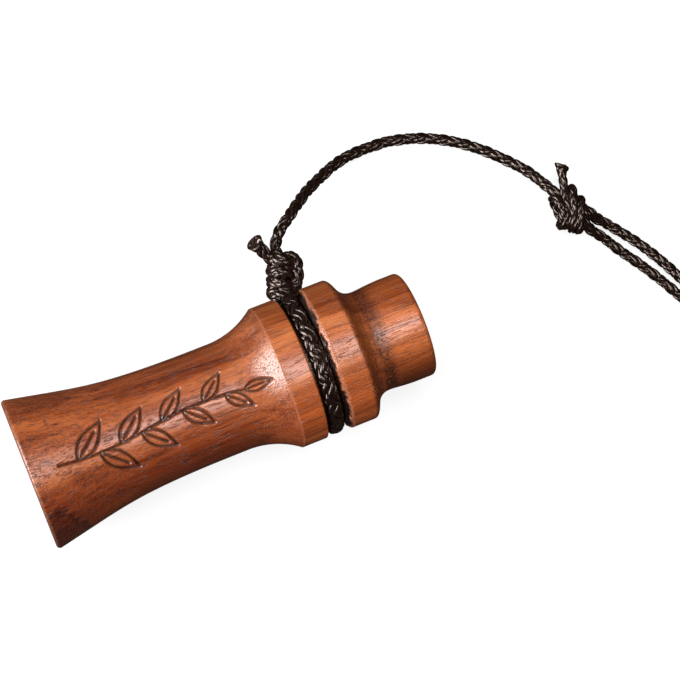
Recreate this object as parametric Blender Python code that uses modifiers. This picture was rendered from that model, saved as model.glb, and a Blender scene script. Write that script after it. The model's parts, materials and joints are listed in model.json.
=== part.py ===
"""Fox call: a turned walnut reed call in two pieces, on a braided cord lanyard.

Metres, +Z up. The call lies on its side, with its axis along X: the bell is towards -X and the mouthpiece
towards +X. The origin is on the surface that it lies on, under the middle of the call.
"""

import math

import bmesh
import bpy
import numpy as np
from mathutils import Matrix, Vector
from mathutils.geometry import interpolate_bezier

MM = 0.001

# Clearance between pieces that seat on each other
FIT_GAP = 0.3 * MM

# Barrel, outside, from the bell's rim towards the mouthpiece
BELL_RADIUS = 14.25 * MM
RIM_WALL = 1.9 * MM
RIM_ROUND = 0.7 * MM
MOUTH_ROUND = 0.5 * MM
BELL_LENGTH = 36.0 * MM
NECK_RADIUS = 10.33 * MM
NECK_LENGTH = 2.5 * MM
COVE_RADIUS = 15.4 * MM
COLLAR_RADIUS = 13.6 * MM
BARREL_COLLAR_LENGTH = 4.9 * MM
GROOVE_WIDTH = 3.9 * MM
GROOVE_DEPTH = 2.4 * MM
GROOVE_EDGE_ROUND = 0.35 * MM

# Shape of the bell's outer and inner curves, as shares of their run and of their drop in radius
FLARE_RIM_RUN = 0.37
FLARE_RIM_DROP = 0.66
FLARE_NECK_RUN = 0.56
HORN_RIM_RUN = 0.24
HORN_RIM_DROP = 0.6
HORN_THROAT_RUN = 0.4

# Barrel, inside
THROAT_RADIUS = 6.5 * MM
HORN_LENGTH = 30.0 * MM
SOCKET_RADIUS = 8.6 * MM

# Mouthpiece. Its lip's flat and the eases of its curve are shares of the lip's length.
MOUTHPIECE_COLLAR_LENGTH = 4.2 * MM
COLLAR_BEVEL_LENGTH = 1.1 * MM
COLLAR_BEVEL_DROP = 0.65 * MM
SHOULDER_LENGTH = 5.9 * MM
SHOULDER_EASE = 3.55 * MM
WAIST_RADIUS = 9.65 * MM
LIP_LENGTH = 9.1 * MM
LIP_RADIUS = 10.02 * MM
LIP_ROUND = 0.9 * MM
LIP_FLAT = 1 / 4
LIP_EASE = 1 / 3
WAIST_EASE = 1 / 8
TENON_LENGTH = 13.0 * MM
TENON_RADIUS = 8.1 * MM
TENON_CHAMFER = 0.5 * MM
BORE_RADIUS = 5.8 * MM
BORE_DEPTH = 7.2 * MM
BORE_TAPER = 3.5 * MM
INLET_RADIUS = 4.6 * MM
INLET_ROUND = 0.7 * MM

# Rubber rings that seal the tenon, set back from its shoulder and from its end
RING_THICKNESS = 1.1 * MM
RING_FROM_SHOULDER = 2.2 * MM
RING_FROM_END = 4.8 * MM
RING_SEGMENTS = 32
RING_SIDES = 8

# Reed voice
BUSH_LENGTH = 11.0 * MM
BUSH_WALL = 1.0 * MM
BUSH_CHAMFER = 0.3 * MM
BOARD_REACH = 16.5 * MM
CHANNEL_WIDTH = 4.0 * MM
CHANNEL_DEPTH = 2.5 * MM
CHANNEL_FLOOR_RISE = 1.0 * MM
CHANNEL_END_WALL = 2.2 * MM
LAY_START = 2.5 * MM
LAY_DROP = 0.9 * MM
REED_THICKNESS = 0.2 * MM
REED_WIDTH = 6.5 * MM
REED_GRIP = 3.6 * MM
REED_TIP_SETBACK = 0.8 * MM
WEDGE_STICK_OUT = 1.6 * MM
WEDGE_TAPER = 0.6 * MM

# Cord
CORD_DIAMETER = 2.0 * MM
TIGHT_CORD_DIAMETER = 1.8 * MM
WINDING_GAP = 0.5 * MM
CORD_STEP = 4.0 * MM
KNOT_STEP = 1.0 * MM
SEALED_END_SWELL = 1.3
TAIL_TIP_LENGTH = 0.9 * MM

# Noose knot: where it starts, out from the collar beside the groove's middle, and how it lies.
# Its legs from where it starts, and any knot's tail from its last wrap, are steps across, along and up from
# the knot in millimetres.
NOOSE_KNOT_OFFSET = Vector((0.6, 2.2, -0.25)) * MM
NOOSE_KNOT_AXIS = Vector((0.362, 0.932, 0.0))
NOOSE_FIRST_ANGLE = -18.0
NOOSE_KNOT_TURNS = 3.3
NOOSE_LEG_ANGLE = 38.0
NOOSE_CORE_END = 0.8 * MM
NOOSE_UPPER_LEG = ((0.0, -0.4, 0.0), (0.5, -1.7, 1.5))
NOOSE_LOWER_LEG = ((0.7, -1.7, -3.2),)
NOOSE_TAIL = ((-2.4, 0.25, 0.1), (-3.8, 0.0, 0.0), (-5.0, -0.6, -0.1))

# Line from the noose knot down to the surface and along it to the loop knot, in millimetres
LINE_ROUTE = (
    (20.6, 24.8, 13.1),
    (21.9, 25.8, 12.8),
    (23.4, 26.8, 12.3),
    (26.1, 28.6, 10.4),
    (29.1, 30.4, 8.2),
    (32.2, 31.8, 6.0),
    (35.4, 33.1, 4.2),
    (38.6, 34.0, 2.8),
    (41.9, 34.4, 1.8),
    (45.2, 34.4, 1.25),
    (48.4, 34.2, 1.05),
    (54.4, 32.6, 1.05),
    (60.1, 29.8, 1.05),
    (65.1, 26.1, 1.05),
    (69.6, 21.7, 1.1),
    (71.6, 19.3, 1.4),
    (73.1, 16.7, 2.1),
)

# Loop knot
LOOP_KNOT_CENTRE = Vector((76.14, 9.74, 3.3)) * MM
LOOP_KNOT_AXIS = Vector((0.62, -0.785, 0.0))
LOOP_FIRST_ANGLE = -90.0
LOOP_KNOT_TURNS = 2.5
LOOP_KNOT_SHEAR = 0.27
LOOP_WRAP_SLANT = 0.45
LOOP_CORE_GAP = 0.4 * MM
LOOP_TAIL = ((-3.0, -1.1, -0.3), (-5.0, -1.9, -0.8), (-6.6, -2.5, -1.3))

# Strands of the neck loop from the knot to the coil, in millimetres
LEAD_OUT_ROUTE = (
    (80.7, 6.0, 2.4),
    (82.2, 4.6, 1.5),
    (84.5, 1.9, 1.05),
    (86.8, -1.1, 1.05),
    (88.9, -4.3, 1.05),
    (90.9, -7.8, 1.05),
    (92.8, -11.6, 1.05),
    (95.6, -17.3, 1.15),
)
LEAD_BACK_ROUTE = (
    (94.1, -19.2, 2.1),
    (92.3, -16.4, 1.2),
    (89.5, -11.3, 1.05),
    (87.4, -7.8, 1.05),
    (85.3, -4.6, 1.05),
    (83.1, -1.5, 1.05),
    (81.0, 1.8, 1.3),
    (79.1, 4.0, 2.3),
)

# Rest of the neck loop, wound double: in on the lower layer, back out on the upper one.
# It climbs over a middle share of the turn that joins them.
COIL_START = Vector((99.4, -25.0)) * MM
COIL_HEADING = Vector((0.44, -0.898))
COIL_TURNS = 3.25
COIL_INNER_RADIUS = 9.0 * MM
CLIMB_START = 0.3
CLIMB_LENGTH = 0.4

# Tie round the coil
TIE_THICKNESS = 0.5 * MM
TIE_WIDTH = 3.0 * MM

# Facets
TURNED_STEPS = 40
CURVE_POINTS = 12
ROUND_POINTS = 4
POINTS_PER_TURN = 24
WRAP_POINTS_PER_TURN = 16
SHARP_ANGLE = 35.0
MERGE_DISTANCE = 0.01 * MM
CUTTER_MARGIN = 1.0 * MM

# Stations along the call's axis, from the bell's rim
NECK_STATION = BELL_LENGTH
COVE_STATION = NECK_STATION + NECK_LENGTH
COVE_ANGLE = math.acos(1 - (COLLAR_RADIUS - NECK_RADIUS) / COVE_RADIUS)
ARRIS_STATION = COVE_STATION + COVE_RADIUS * math.sin(COVE_ANGLE)
GROOVE_STATION = ARRIS_STATION + BARREL_COLLAR_LENGTH
JOINT_STATION = GROOVE_STATION + GROOVE_WIDTH
SHOULDER_STATION = JOINT_STATION + MOUTHPIECE_COLLAR_LENGTH
WAIST_STATION = SHOULDER_STATION + SHOULDER_LENGTH
LENGTH = WAIST_STATION + LIP_LENGTH
TENON_STATION = JOINT_STATION - TENON_LENGTH
SOCKET_STATION = TENON_STATION - FIT_GAP
VOICE_STATION = SOCKET_STATION - BUSH_LENGTH
BOARD_TIP_STATION = SOCKET_STATION + BOARD_REACH

# Sizes that follow from what a piece fits
MOUTH_RADIUS = BELL_RADIUS - RIM_WALL
GROOVE_FLOOR_RADIUS = COLLAR_RADIUS - GROOVE_DEPTH
RING_OUTER_RADIUS = SOCKET_RADIUS - FIT_GAP
RING_GROOVE_RADIUS = RING_OUTER_RADIUS - RING_THICKNESS - FIT_GAP
RING_GROOVE_WIDTH = RING_THICKNESS + 2 * FIT_GAP
BUSH_RADIUS = THROAT_RADIUS - FIT_GAP
BUSH_BORE_RADIUS = BUSH_RADIUS - BUSH_WALL
BOARD_RADIUS = BUSH_BORE_RADIUS - FIT_GAP
TABLE_DEPTH = REED_THICKNESS / 2 + FIT_GAP
NOOSE_RADIUS = GROOVE_FLOOR_RADIUS + FIT_GAP + CORD_DIAMETER / 2
TIGHT_PITCH = TIGHT_CORD_DIAMETER + WINDING_GAP
LOOP_PITCH = TIGHT_PITCH * math.hypot(1, LOOP_WRAP_SLANT)
NOOSE_WRAP_RADIUS = CORD_DIAMETER / 2 + WINDING_GAP + TIGHT_CORD_DIAMETER / 2
LOOP_CORE_OFFSET = (CORD_DIAMETER + LOOP_CORE_GAP) / 2
LOOP_KNOT_HALF = (LOOP_KNOT_TURNS * LOOP_PITCH + TIGHT_CORD_DIAMETER) / 2
LOOP_WRAP_HALF_WIDTH = LOOP_CORE_OFFSET + NOOSE_WRAP_RADIUS
COIL_PITCH = CORD_DIAMETER + WINDING_GAP
COIL_LAYER_STEP = COIL_PITCH * math.sqrt(3) / 2
COIL_OUTER_RADIUS = COIL_INNER_RADIUS + COIL_PITCH * COIL_TURNS
COIL_FLOOR = TIE_THICKNESS + FIT_GAP + CORD_DIAMETER / 2


def world_x(station):
    """Where a station along the call's axis lies in the part's frame."""
    return station - LENGTH / 2


def clear_scene():
    for obj in list(bpy.data.objects):
        bpy.data.objects.remove(obj)


def new_collection(name):
    collection = bpy.data.collections.new(name)
    bpy.context.scene.collection.children.link(collection)
    return collection


def new_material(name, colour, roughness, metallic=0.0):
    material = bpy.data.materials.new(name)
    material.use_nodes = True
    shader = material.node_tree.nodes["Principled BSDF"]
    shader.inputs["Base Color"].default_value = (*colour, 1.0)
    shader.inputs["Roughness"].default_value = roughness
    shader.inputs["Metallic"].default_value = metallic
    return material


def new_object(name, data, collection, material=None, parent=None, location=(0, 0, 0)):
    obj = bpy.data.objects.new(name, data)
    collection.objects.link(obj)
    if material:
        data.materials.append(material)
    obj.parent = parent
    obj.location = location
    return obj


def as_cutter(obj):
    obj.hide_render = True
    obj.display_type = "WIRE"
    return obj


# Profiles and outlines


def arc(centre, radius, first, last, count=ROUND_POINTS):
    """Points of a circular arc from one angle to another, in degrees."""
    angles = np.radians(np.linspace(first, last, count + 1))
    return [(centre[0] + radius * math.cos(a), centre[1] + radius * math.sin(a)) for a in angles]


def bezier(start, start_handle, end_handle, end, count=CURVE_POINTS):
    corners = [Vector((*point, 0)) for point in (start, start_handle, end_handle, end)]
    return [(point.x, point.y) for point in interpolate_bezier(*corners, count + 1)]


def turned(name, profile, material, collection, parent):
    """A body of revolution about its local Z, from (radius, station) points that run down the outer side."""
    count = len(profile)
    mesh = bpy.data.meshes.new(name)
    edges = [(i, (i + 1) % count) for i in range(count)]
    mesh.from_pydata([(radius, 0, station) for radius, station in profile], edges, [])
    obj = new_object(name, mesh, collection, material, parent)
    screw = obj.modifiers.new("turn", "SCREW")
    screw.axis = "Z"
    screw.angle = 2 * math.pi
    screw.steps = TURNED_STEPS
    screw.render_steps = TURNED_STEPS
    screw.use_merge_vertices = True
    screw.merge_threshold = MERGE_DISTANCE
    return obj


def outline_curve(name, outlines, thickness):
    """A flat shape in its own XY plane, filled between its outlines and extruded to both sides."""
    curve = bpy.data.curves.new(name, "CURVE")
    curve.dimensions = "2D"
    curve.fill_mode = "BOTH"
    curve.extrude = thickness / 2
    for outline in outlines:
        spline = curve.splines.new("POLY")
        spline.points.add(len(outline) - 1)
        for point, (x, y) in zip(spline.points, outline):
            point.co = (x, y, 0, 1)
        spline.use_cyclic_u = True
    return curve


def outline_solid(name, outline, thickness, collection, parent, matrix, material=None):
    """An extruded outline as a closed mesh, placed in its parent by a matrix."""
    curve = outline_curve(name + "_outline", [outline], thickness)
    guide = new_object(name + "_outline", curve, collection)
    graph = bpy.context.evaluated_depsgraph_get()
    mesh = bpy.data.meshes.new_from_object(guide.evaluated_get(graph))
    bpy.data.objects.remove(guide)
    shape = bmesh.new()
    shape.from_mesh(mesh)
    bmesh.ops.remove_doubles(shape, verts=shape.verts, dist=MERGE_DISTANCE)
    bmesh.ops.recalc_face_normals(shape, faces=shape.faces)
    shape.to_mesh(mesh)
    shape.free()
    mesh.name = name
    obj = new_object(name, mesh, collection, material, parent)
    obj.matrix_local = matrix
    return obj


def cut(obj, cutter):
    boolean = obj.modifiers.new(cutter.name, "BOOLEAN")
    boolean.operation = "DIFFERENCE"
    boolean.object = cutter


# Turned pieces


def barrel_profile():
    collar = [(GROOVE_FLOOR_RADIUS, JOINT_STATION - FIT_GAP), (GROOVE_FLOOR_RADIUS, GROOVE_STATION)]
    edge = (COLLAR_RADIUS - GROOVE_EDGE_ROUND, GROOVE_STATION - GROOVE_EDGE_ROUND)
    collar += arc(edge, GROOVE_EDGE_ROUND, 90, 0)
    cove = [
        (
            NECK_RADIUS + COVE_RADIUS * (1 - math.cos(angle)),
            COVE_STATION + COVE_RADIUS * math.sin(angle),
        )
        for angle in np.linspace(COVE_ANGLE, 0, CURVE_POINTS)
    ]
    run = BELL_LENGTH - RIM_ROUND
    drop = BELL_RADIUS - NECK_RADIUS
    flare = bezier(
        (NECK_RADIUS, NECK_STATION),
        (NECK_RADIUS, NECK_STATION - FLARE_NECK_RUN * run),
        (BELL_RADIUS - FLARE_RIM_DROP * drop, RIM_ROUND + FLARE_RIM_RUN * run),
        (BELL_RADIUS, RIM_ROUND),
    )
    rim = arc((BELL_RADIUS - RIM_ROUND, RIM_ROUND), RIM_ROUND, 0, -90)[1:]
    mouth = arc((MOUTH_RADIUS + MOUTH_ROUND, MOUTH_ROUND), MOUTH_ROUND, 270, 180)
    horn_run = HORN_LENGTH - MOUTH_ROUND
    horn_drop = MOUTH_RADIUS - THROAT_RADIUS
    horn = bezier(
        (MOUTH_RADIUS, MOUTH_ROUND),
        (MOUTH_RADIUS - HORN_RIM_DROP * horn_drop, MOUTH_ROUND + HORN_RIM_RUN * horn_run),
        (THROAT_RADIUS, HORN_LENGTH - HORN_THROAT_RUN * horn_run),
        (THROAT_RADIUS, HORN_LENGTH),
    )[1:]
    socket = [
        (THROAT_RADIUS, SOCKET_STATION),
        (SOCKET_RADIUS, SOCKET_STATION),
        (SOCKET_RADIUS, JOINT_STATION - FIT_GAP),
    ]
    return collar + cove + flare + rim + mouth + horn + socket


def ring_stations():
    return [JOINT_STATION - RING_FROM_SHOULDER, TENON_STATION + RING_FROM_END]


def mouthpiece_profile():
    lip = arc((LIP_RADIUS - LIP_ROUND, LENGTH - LIP_ROUND), LIP_ROUND, 90, 0)
    lip += bezier(
        (LIP_RADIUS, LENGTH - LIP_ROUND - LIP_LENGTH * LIP_FLAT),
        (LIP_RADIUS, WAIST_STATION + LIP_LENGTH * LIP_EASE),
        (WAIST_RADIUS, WAIST_STATION + LIP_LENGTH * WAIST_EASE),
        (WAIST_RADIUS, WAIST_STATION),
        CURVE_POINTS // 2,
    )
    shoulder = bezier(
        (WAIST_RADIUS, WAIST_STATION),
        (WAIST_RADIUS, WAIST_STATION - SHOULDER_EASE),
        (COLLAR_RADIUS, SHOULDER_STATION + SHOULDER_EASE),
        (COLLAR_RADIUS, SHOULDER_STATION),
    )[1:]
    collar = [
        (COLLAR_RADIUS, JOINT_STATION + COLLAR_BEVEL_LENGTH),
        (COLLAR_RADIUS - COLLAR_BEVEL_DROP, JOINT_STATION),
    ]
    tenon = [(TENON_RADIUS, JOINT_STATION)]
    for station in ring_stations():
        top = station + RING_GROOVE_WIDTH / 2
        foot = station - RING_GROOVE_WIDTH / 2
        tenon += [
            (TENON_RADIUS, top),
            (RING_GROOVE_RADIUS, top),
            (RING_GROOVE_RADIUS, foot),
            (TENON_RADIUS, foot),
        ]
    tenon.append((TENON_RADIUS, TENON_STATION + TENON_CHAMFER))
    tenon.append((TENON_RADIUS - TENON_CHAMFER, TENON_STATION))
    bore_end = JOINT_STATION + BORE_DEPTH
    bore = [(BORE_RADIUS, TENON_STATION), (BORE_RADIUS, bore_end), (INLET_RADIUS, bore_end + BORE_TAPER)]
    bore += arc((INLET_RADIUS + INLET_ROUND, LENGTH - INLET_ROUND), INLET_ROUND, 180, 90)
    return lip + shoulder + collar + tenon + bore


def bush_profile():
    return [
        (BUSH_RADIUS, SOCKET_STATION),
        (BUSH_RADIUS, VOICE_STATION + BUSH_CHAMFER),
        (BUSH_RADIUS - BUSH_CHAMFER, VOICE_STATION),
        (BUSH_BORE_RADIUS + BUSH_CHAMFER, VOICE_STATION),
        (BUSH_BORE_RADIUS, VOICE_STATION + BUSH_CHAMFER),
        (BUSH_BORE_RADIUS, SOCKET_STATION),
    ]


def tenon_ring(name, station, material, collection, parent):
    bpy.ops.mesh.primitive_torus_add(
        major_radius=RING_OUTER_RADIUS - RING_THICKNESS / 2,
        minor_radius=RING_THICKNESS / 2,
        major_segments=RING_SEGMENTS,
        minor_segments=RING_SIDES,
    )
    ring = bpy.context.object
    bpy.context.collection.objects.unlink(ring)
    collection.objects.link(ring)
    ring.name = name
    ring.data.name = name
    ring.data.materials.append(material)
    ring.parent = parent
    ring.location = (0, 0, station)
    return ring


# Reed voice. Local Z runs along the call's axis and local X points down, so the reed lies across X = 0.


def side_view():
    """Turns an outline drawn as (station, depth) so that it stands in the call's plane of symmetry."""
    return Matrix(((0, 1, 0, 0), (0, 0, 1, 0), (1, 0, 0, 0), (0, 0, 0, 1)))


def end_view(station):
    """Puts an outline drawn across the call's axis at a station."""
    return Matrix.Translation((0, 0, station))


def lay_outline():
    """What is taken off the board above its table: flat under the clamp, then falling away to the tip."""
    lay_station = SOCKET_STATION + LAY_START
    run = BOARD_TIP_STATION - lay_station
    outline = [(VOICE_STATION - CUTTER_MARGIN, TABLE_DEPTH)]
    for station in np.linspace(lay_station, BOARD_TIP_STATION + CUTTER_MARGIN, CURVE_POINTS):
        outline.append((station, TABLE_DEPTH + LAY_DROP * ((station - lay_station) / run) ** 2))
    top = -BOARD_RADIUS - CUTTER_MARGIN
    outline.append((BOARD_TIP_STATION + CUTTER_MARGIN, top))
    outline.append((VOICE_STATION - CUTTER_MARGIN, top))
    return outline


def tone_board(material, collection, cutters, parent):
    length = BOARD_TIP_STATION - VOICE_STATION
    bpy.ops.mesh.primitive_cylinder_add(radius=BOARD_RADIUS, depth=length, vertices=TURNED_STEPS)
    board = bpy.context.object
    bpy.context.collection.objects.unlink(board)
    collection.objects.link(board)
    board.name = "tone_board"
    board.data.materials.append(material)
    board.parent = parent
    board.location = (0, 0, VOICE_STATION + length / 2)

    width = 2 * (BOARD_RADIUS + CUTTER_MARGIN)
    cut(board, as_cutter(outline_solid("lay_cutter", lay_outline(), width, cutters, parent, side_view())))

    first = VOICE_STATION - CUTTER_MARGIN
    last = BOARD_TIP_STATION - CHANNEL_END_WALL
    floor = TABLE_DEPTH + CHANNEL_DEPTH
    side = floor - CHANNEL_FLOOR_RISE
    half = CHANNEL_WIDTH / 2
    channel = [(-BOARD_RADIUS, -half), (side, -half), (floor, 0), (side, half), (-BOARD_RADIUS, half)]
    middle = end_view((first + last) / 2)
    cut(board, as_cutter(outline_solid("channel_cutter", channel, last - first, cutters, parent, middle)))
    return board


def reed(material, collection, parent):
    """A flat tongue with a round tip. Its origin is where the wedge lets it go, about which it swings."""
    tip = BOARD_REACH - REED_TIP_SETBACK
    half = REED_WIDTH / 2
    outline = [(-REED_GRIP, -half)]
    outline += arc((tip - half, 0), half, -90, 90, 2 * ROUND_POINTS)
    outline += [(-REED_GRIP, half)]
    flat = Matrix(((0, 0, 1, 0), (0, 1, 0, 0), (1, 0, 0, SOCKET_STATION), (0, 0, 0, 1)))
    return outline_solid("reed", outline, REED_THICKNESS, collection, parent, flat, material)


def reed_wedge(material, collection, cutters, parent):
    """A half-round key, thinner towards the bell, that holds the reed's root down on the board."""
    first = VOICE_STATION - WEDGE_STICK_OUT
    length = SOCKET_STATION - first
    chord = math.degrees(math.acos(TABLE_DEPTH / BOARD_RADIUS))
    outline = arc((0, 0), BOARD_RADIUS, 180 - chord, 180 + chord, 4 * ROUND_POINTS)
    middle = end_view(first + length / 2)
    wedge = outline_solid("reed_wedge", outline, length, collection, parent, middle, material)
    top = -BOARD_RADIUS - CUTTER_MARGIN
    slope = [
        (first - CUTTER_MARGIN, top),
        (first - CUTTER_MARGIN, -BOARD_RADIUS + WEDGE_TAPER),
        (SOCKET_STATION, -BOARD_RADIUS),
        (SOCKET_STATION, top),
    ]
    width = 2 * (BOARD_RADIUS + CUTTER_MARGIN)
    cut(wedge, as_cutter(outline_solid("wedge_cutter", slope, width, cutters, parent, side_view())))
    return wedge


# Cord


def in_mm(route):
    return [Vector(point) * MM for point in route]


def spaced(points, step):
    """Points about one step apart along a line of points."""
    line = np.array([tuple(point) for point in points])
    reach = np.concatenate([[0.0], np.cumsum(np.linalg.norm(np.diff(line, axis=0), axis=1))])
    places = np.linspace(0.0, reach[-1], max(2, round(reach[-1] / step)) + 1)
    return [Vector(point) for point in zip(*(np.interp(places, reach, line[:, k]) for k in range(3)))]


def smooth_curve(route):
    """Close points on a smooth curve through the points of a route."""
    points = [2 * route[0] - route[1], *route, 2 * route[-1] - route[-2]]
    fine = []
    for before, start, end, after in zip(points, points[1:], points[2:], points[3:]):
        pull = (end - start).length / 3
        start_handle = start + (end - before).normalized() * pull
        end_handle = end - (after - start).normalized() * pull
        fine += interpolate_bezier(start, start_handle, end_handle, end, CURVE_POINTS)[:-1]
    return fine + [route[-1]]


def tube(name, points, material, collection, sides_level, diameters=None):
    """A round cord along points, with capped ends. Diameters may change from point to point."""
    curve = bpy.data.curves.new(name, "CURVE")
    curve.dimensions = "3D"
    curve.bevel_depth = CORD_DIAMETER / 2
    curve.bevel_resolution = sides_level
    curve.use_fill_caps = True
    spline = curve.splines.new("POLY")
    spline.points.add(len(points) - 1)
    for index, point in enumerate(points):
        spline.points[index].co = (*point, 1)
        if diameters:
            spline.points[index].radius = diameters[index] / CORD_DIAMETER
    spline.use_smooth = True
    return new_object(name, curve, collection, material)


def length_of(points):
    return sum((b - a).length for a, b in zip(points, points[1:]))


def least_gap(points, diameter):
    """Least clear distance between stretches of one cord that are over three diameters apart along it."""
    step = diameter / 4
    line = np.array([tuple(point) for point in spaced(points, step)])
    apart = math.ceil(3 * diameter / step)
    least = min(np.linalg.norm(line[i + apart :] - line[i], axis=1).min() for i in range(len(line) - apart))
    return least - diameter


def knot_frame(axis):
    """Unit vectors of a knot: across it and level, along it, and up from it."""
    along = axis.normalized()
    across = along.cross(Vector((0, 0, 1))).normalized()
    return across, along, across.cross(along)


def wraps(start, frame, half_width, half_height, first_angle, turns, advance, shear=0.0):
    """Turns of cord round a knot's core."""
    across, along, up = frame
    points = []
    for share in np.linspace(0, 1, round(turns * WRAP_POINTS_PER_TURN) + 1):
        angle = math.radians(first_angle) + 2 * math.pi * turns * share
        sideways = half_width * math.cos(angle)
        place = advance * share - shear * sideways
        points.append(start + along * place + across * sideways + up * (half_height * math.sin(angle)))
    return points


def stepped(origin, frame, steps):
    """Points that step across, along and up from a point of a knot, in millimetres."""
    across, along, up = frame
    return [origin + (across * x + along * y + up * z) * MM for x, y, z in steps]


def knot_diameters(points, tight_length):
    """Cord that is drawn tight over its last stretch, up to a sealed tip that swells."""
    left = length_of(points)
    sizes = []
    for here, following in zip(points, points[1:] + points[-1:]):
        if left > tight_length:
            sizes.append(CORD_DIAMETER)
        elif left > TAIL_TIP_LENGTH:
            sizes.append(TIGHT_CORD_DIAMETER)
        else:
            sizes.append(TIGHT_CORD_DIAMETER * SEALED_END_SWELL)
        left -= (following - here).length
    return sizes


def noose_knot_start():
    groove_x = world_x(GROOVE_STATION + GROOVE_WIDTH / 2)
    return Vector((groove_x, COLLAR_RADIUS, BELL_RADIUS)) + NOOSE_KNOT_OFFSET


def noose_route():
    """Out of the knot's core, once round the groove, then up into the wraps and out as the tail."""
    start = noose_knot_start()
    frame = knot_frame(NOOSE_KNOT_AXIS)
    core = [start + frame[1] * NOOSE_CORE_END]
    upper_leg = stepped(start, frame, NOOSE_UPPER_LEG)
    lower_leg = stepped(start, frame, NOOSE_LOWER_LEG)
    groove_x = world_x(GROOVE_STATION + GROOVE_WIDTH / 2)
    ring = [
        Vector((groove_x, NOOSE_RADIUS * math.cos(angle), BELL_RADIUS + NOOSE_RADIUS * math.sin(angle)))
        for angle in np.radians(np.linspace(NOOSE_LEG_ANGLE, 360 - NOOSE_LEG_ANGLE, POINTS_PER_TURN))
    ]
    reach = NOOSE_KNOT_TURNS * TIGHT_PITCH
    radius = NOOSE_WRAP_RADIUS
    wound = wraps(start, frame, radius, radius, NOOSE_FIRST_ANGLE, NOOSE_KNOT_TURNS, reach)
    tight = wound + stepped(wound[-1], frame, NOOSE_TAIL)
    return core + upper_leg + ring + lower_leg, tight


def loop_core(side, place):
    """A point on one of the two strands that the loop knot grips, at a place along the knot."""
    across, along, _ = knot_frame(LOOP_KNOT_AXIS)
    return LOOP_KNOT_CENTRE - across * (side * LOOP_CORE_OFFSET) + along * place


def loop_knot_route():
    frame = knot_frame(LOOP_KNOT_AXIS)
    reach = LOOP_KNOT_TURNS * LOOP_PITCH
    start = LOOP_KNOT_CENTRE + frame[1] * (reach / 2)
    wound = wraps(
        start,
        frame,
        LOOP_WRAP_HALF_WIDTH,
        NOOSE_WRAP_RADIUS,
        LOOP_FIRST_ANGLE,
        LOOP_KNOT_TURNS,
        -reach,
        -LOOP_KNOT_SHEAR,
    )
    return wound + stepped(wound[-1], frame, LOOP_TAIL)


def line_route():
    """From the noose knot's core, down to the surface, and into the loop knot."""
    start = noose_knot_start()
    along = knot_frame(NOOSE_KNOT_AXIS)[1]
    inside = NOOSE_CORE_END + FIT_GAP
    outside = NOOSE_KNOT_TURNS * TIGHT_PITCH
    knot = [start + along * place for place in (inside, (inside + outside) / 2, outside)]
    return knot + in_mm(LINE_ROUTE) + [loop_core(1, -LOOP_KNOT_HALF), loop_core(1, -FIT_GAP / 2)]


def coil_route():
    """A doubled winding: the strand runs in, turns back through the middle, and runs out over itself."""
    left = Vector((-COIL_HEADING.y, COIL_HEADING.x)).normalized()
    centre = COIL_START + left * COIL_OUTER_RADIUS
    first = math.atan2(-left.y, -left.x)
    inner = first + 2 * math.pi * COIL_TURNS
    upper_floor = COIL_FLOOR + COIL_LAYER_STEP

    def place(angle, radius, height, middle=centre):
        return Vector((middle.x + radius * math.cos(angle), middle.y + radius * math.sin(angle), height))

    points = []
    for step in range(round(COIL_TURNS * POINTS_PER_TURN)):
        turn = step / POINTS_PER_TURN
        points.append(place(first + 2 * math.pi * turn, COIL_OUTER_RADIUS - COIL_PITCH * turn, COIL_FLOOR))

    half_radius = COIL_INNER_RADIUS / 2
    to_side = Vector((math.cos(inner), math.sin(inner))) * half_radius
    half_turn = POINTS_PER_TURN // 2
    for step in range(2 * half_turn):
        share = step / (2 * half_turn)
        climb = min(1.0, max(0.0, (share - CLIMB_START) / CLIMB_LENGTH))
        height = COIL_FLOOR + COIL_LAYER_STEP * climb * climb * (3 - 2 * climb)
        if step < half_turn:
            points.append(place(inner + 2 * math.pi * share, half_radius, height, centre + to_side))
        else:
            points.append(place(inner - 2 * math.pi * (share - 0.5), half_radius, height, centre - to_side))

    for step in range(round((COIL_TURNS + 0.5) * POINTS_PER_TURN) + 1):
        turn = step / POINTS_PER_TURN
        angle = inner + math.pi - 2 * math.pi * turn
        points.append(place(angle, COIL_INNER_RADIUS + COIL_PITCH * turn, upper_floor))

    heading = Vector((*COIL_HEADING, 0)).normalized()
    straight = heading * CORD_DIAMETER
    return [points[0] - straight, *points, points[-1] - straight], centre, first


def tie_outlines(points, centre, angle):
    """Inner and outer outline of the tie, as (distance from the coil's middle, height)."""
    outward = Vector((math.cos(angle), math.sin(angle)))
    distances = []
    for point in spaced(points, CORD_DIAMETER / 2):
        offset = Vector((point.x, point.y)) - centre
        reach = offset.dot(outward)
        if reach > COIL_INNER_RADIUS - CORD_DIAMETER and abs(offset.cross(outward)) < TIE_WIDTH:
            distances.append(reach)
    clear = CORD_DIAMETER / 2 + FIT_GAP
    low = min(distances) - clear
    high = max(distances) + clear
    top = COIL_FLOOR + COIL_LAYER_STEP + clear
    outlines = []
    for grown in (0.0, TIE_THICKNESS):
        round_off = CORD_DIAMETER / 2 + grown
        left, right = low - grown + round_off, high + grown - round_off
        bottom, upper = TIE_THICKNESS - grown + round_off, top + grown - round_off
        outline = arc((right, bottom), round_off, -90, 0)
        outline += arc((right, upper), round_off, 0, 90)
        outline += arc((left, upper), round_off, 90, 180)
        outline += arc((left, bottom), round_off, 180, 270)
        outlines.append(outline)
    return outlines


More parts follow.
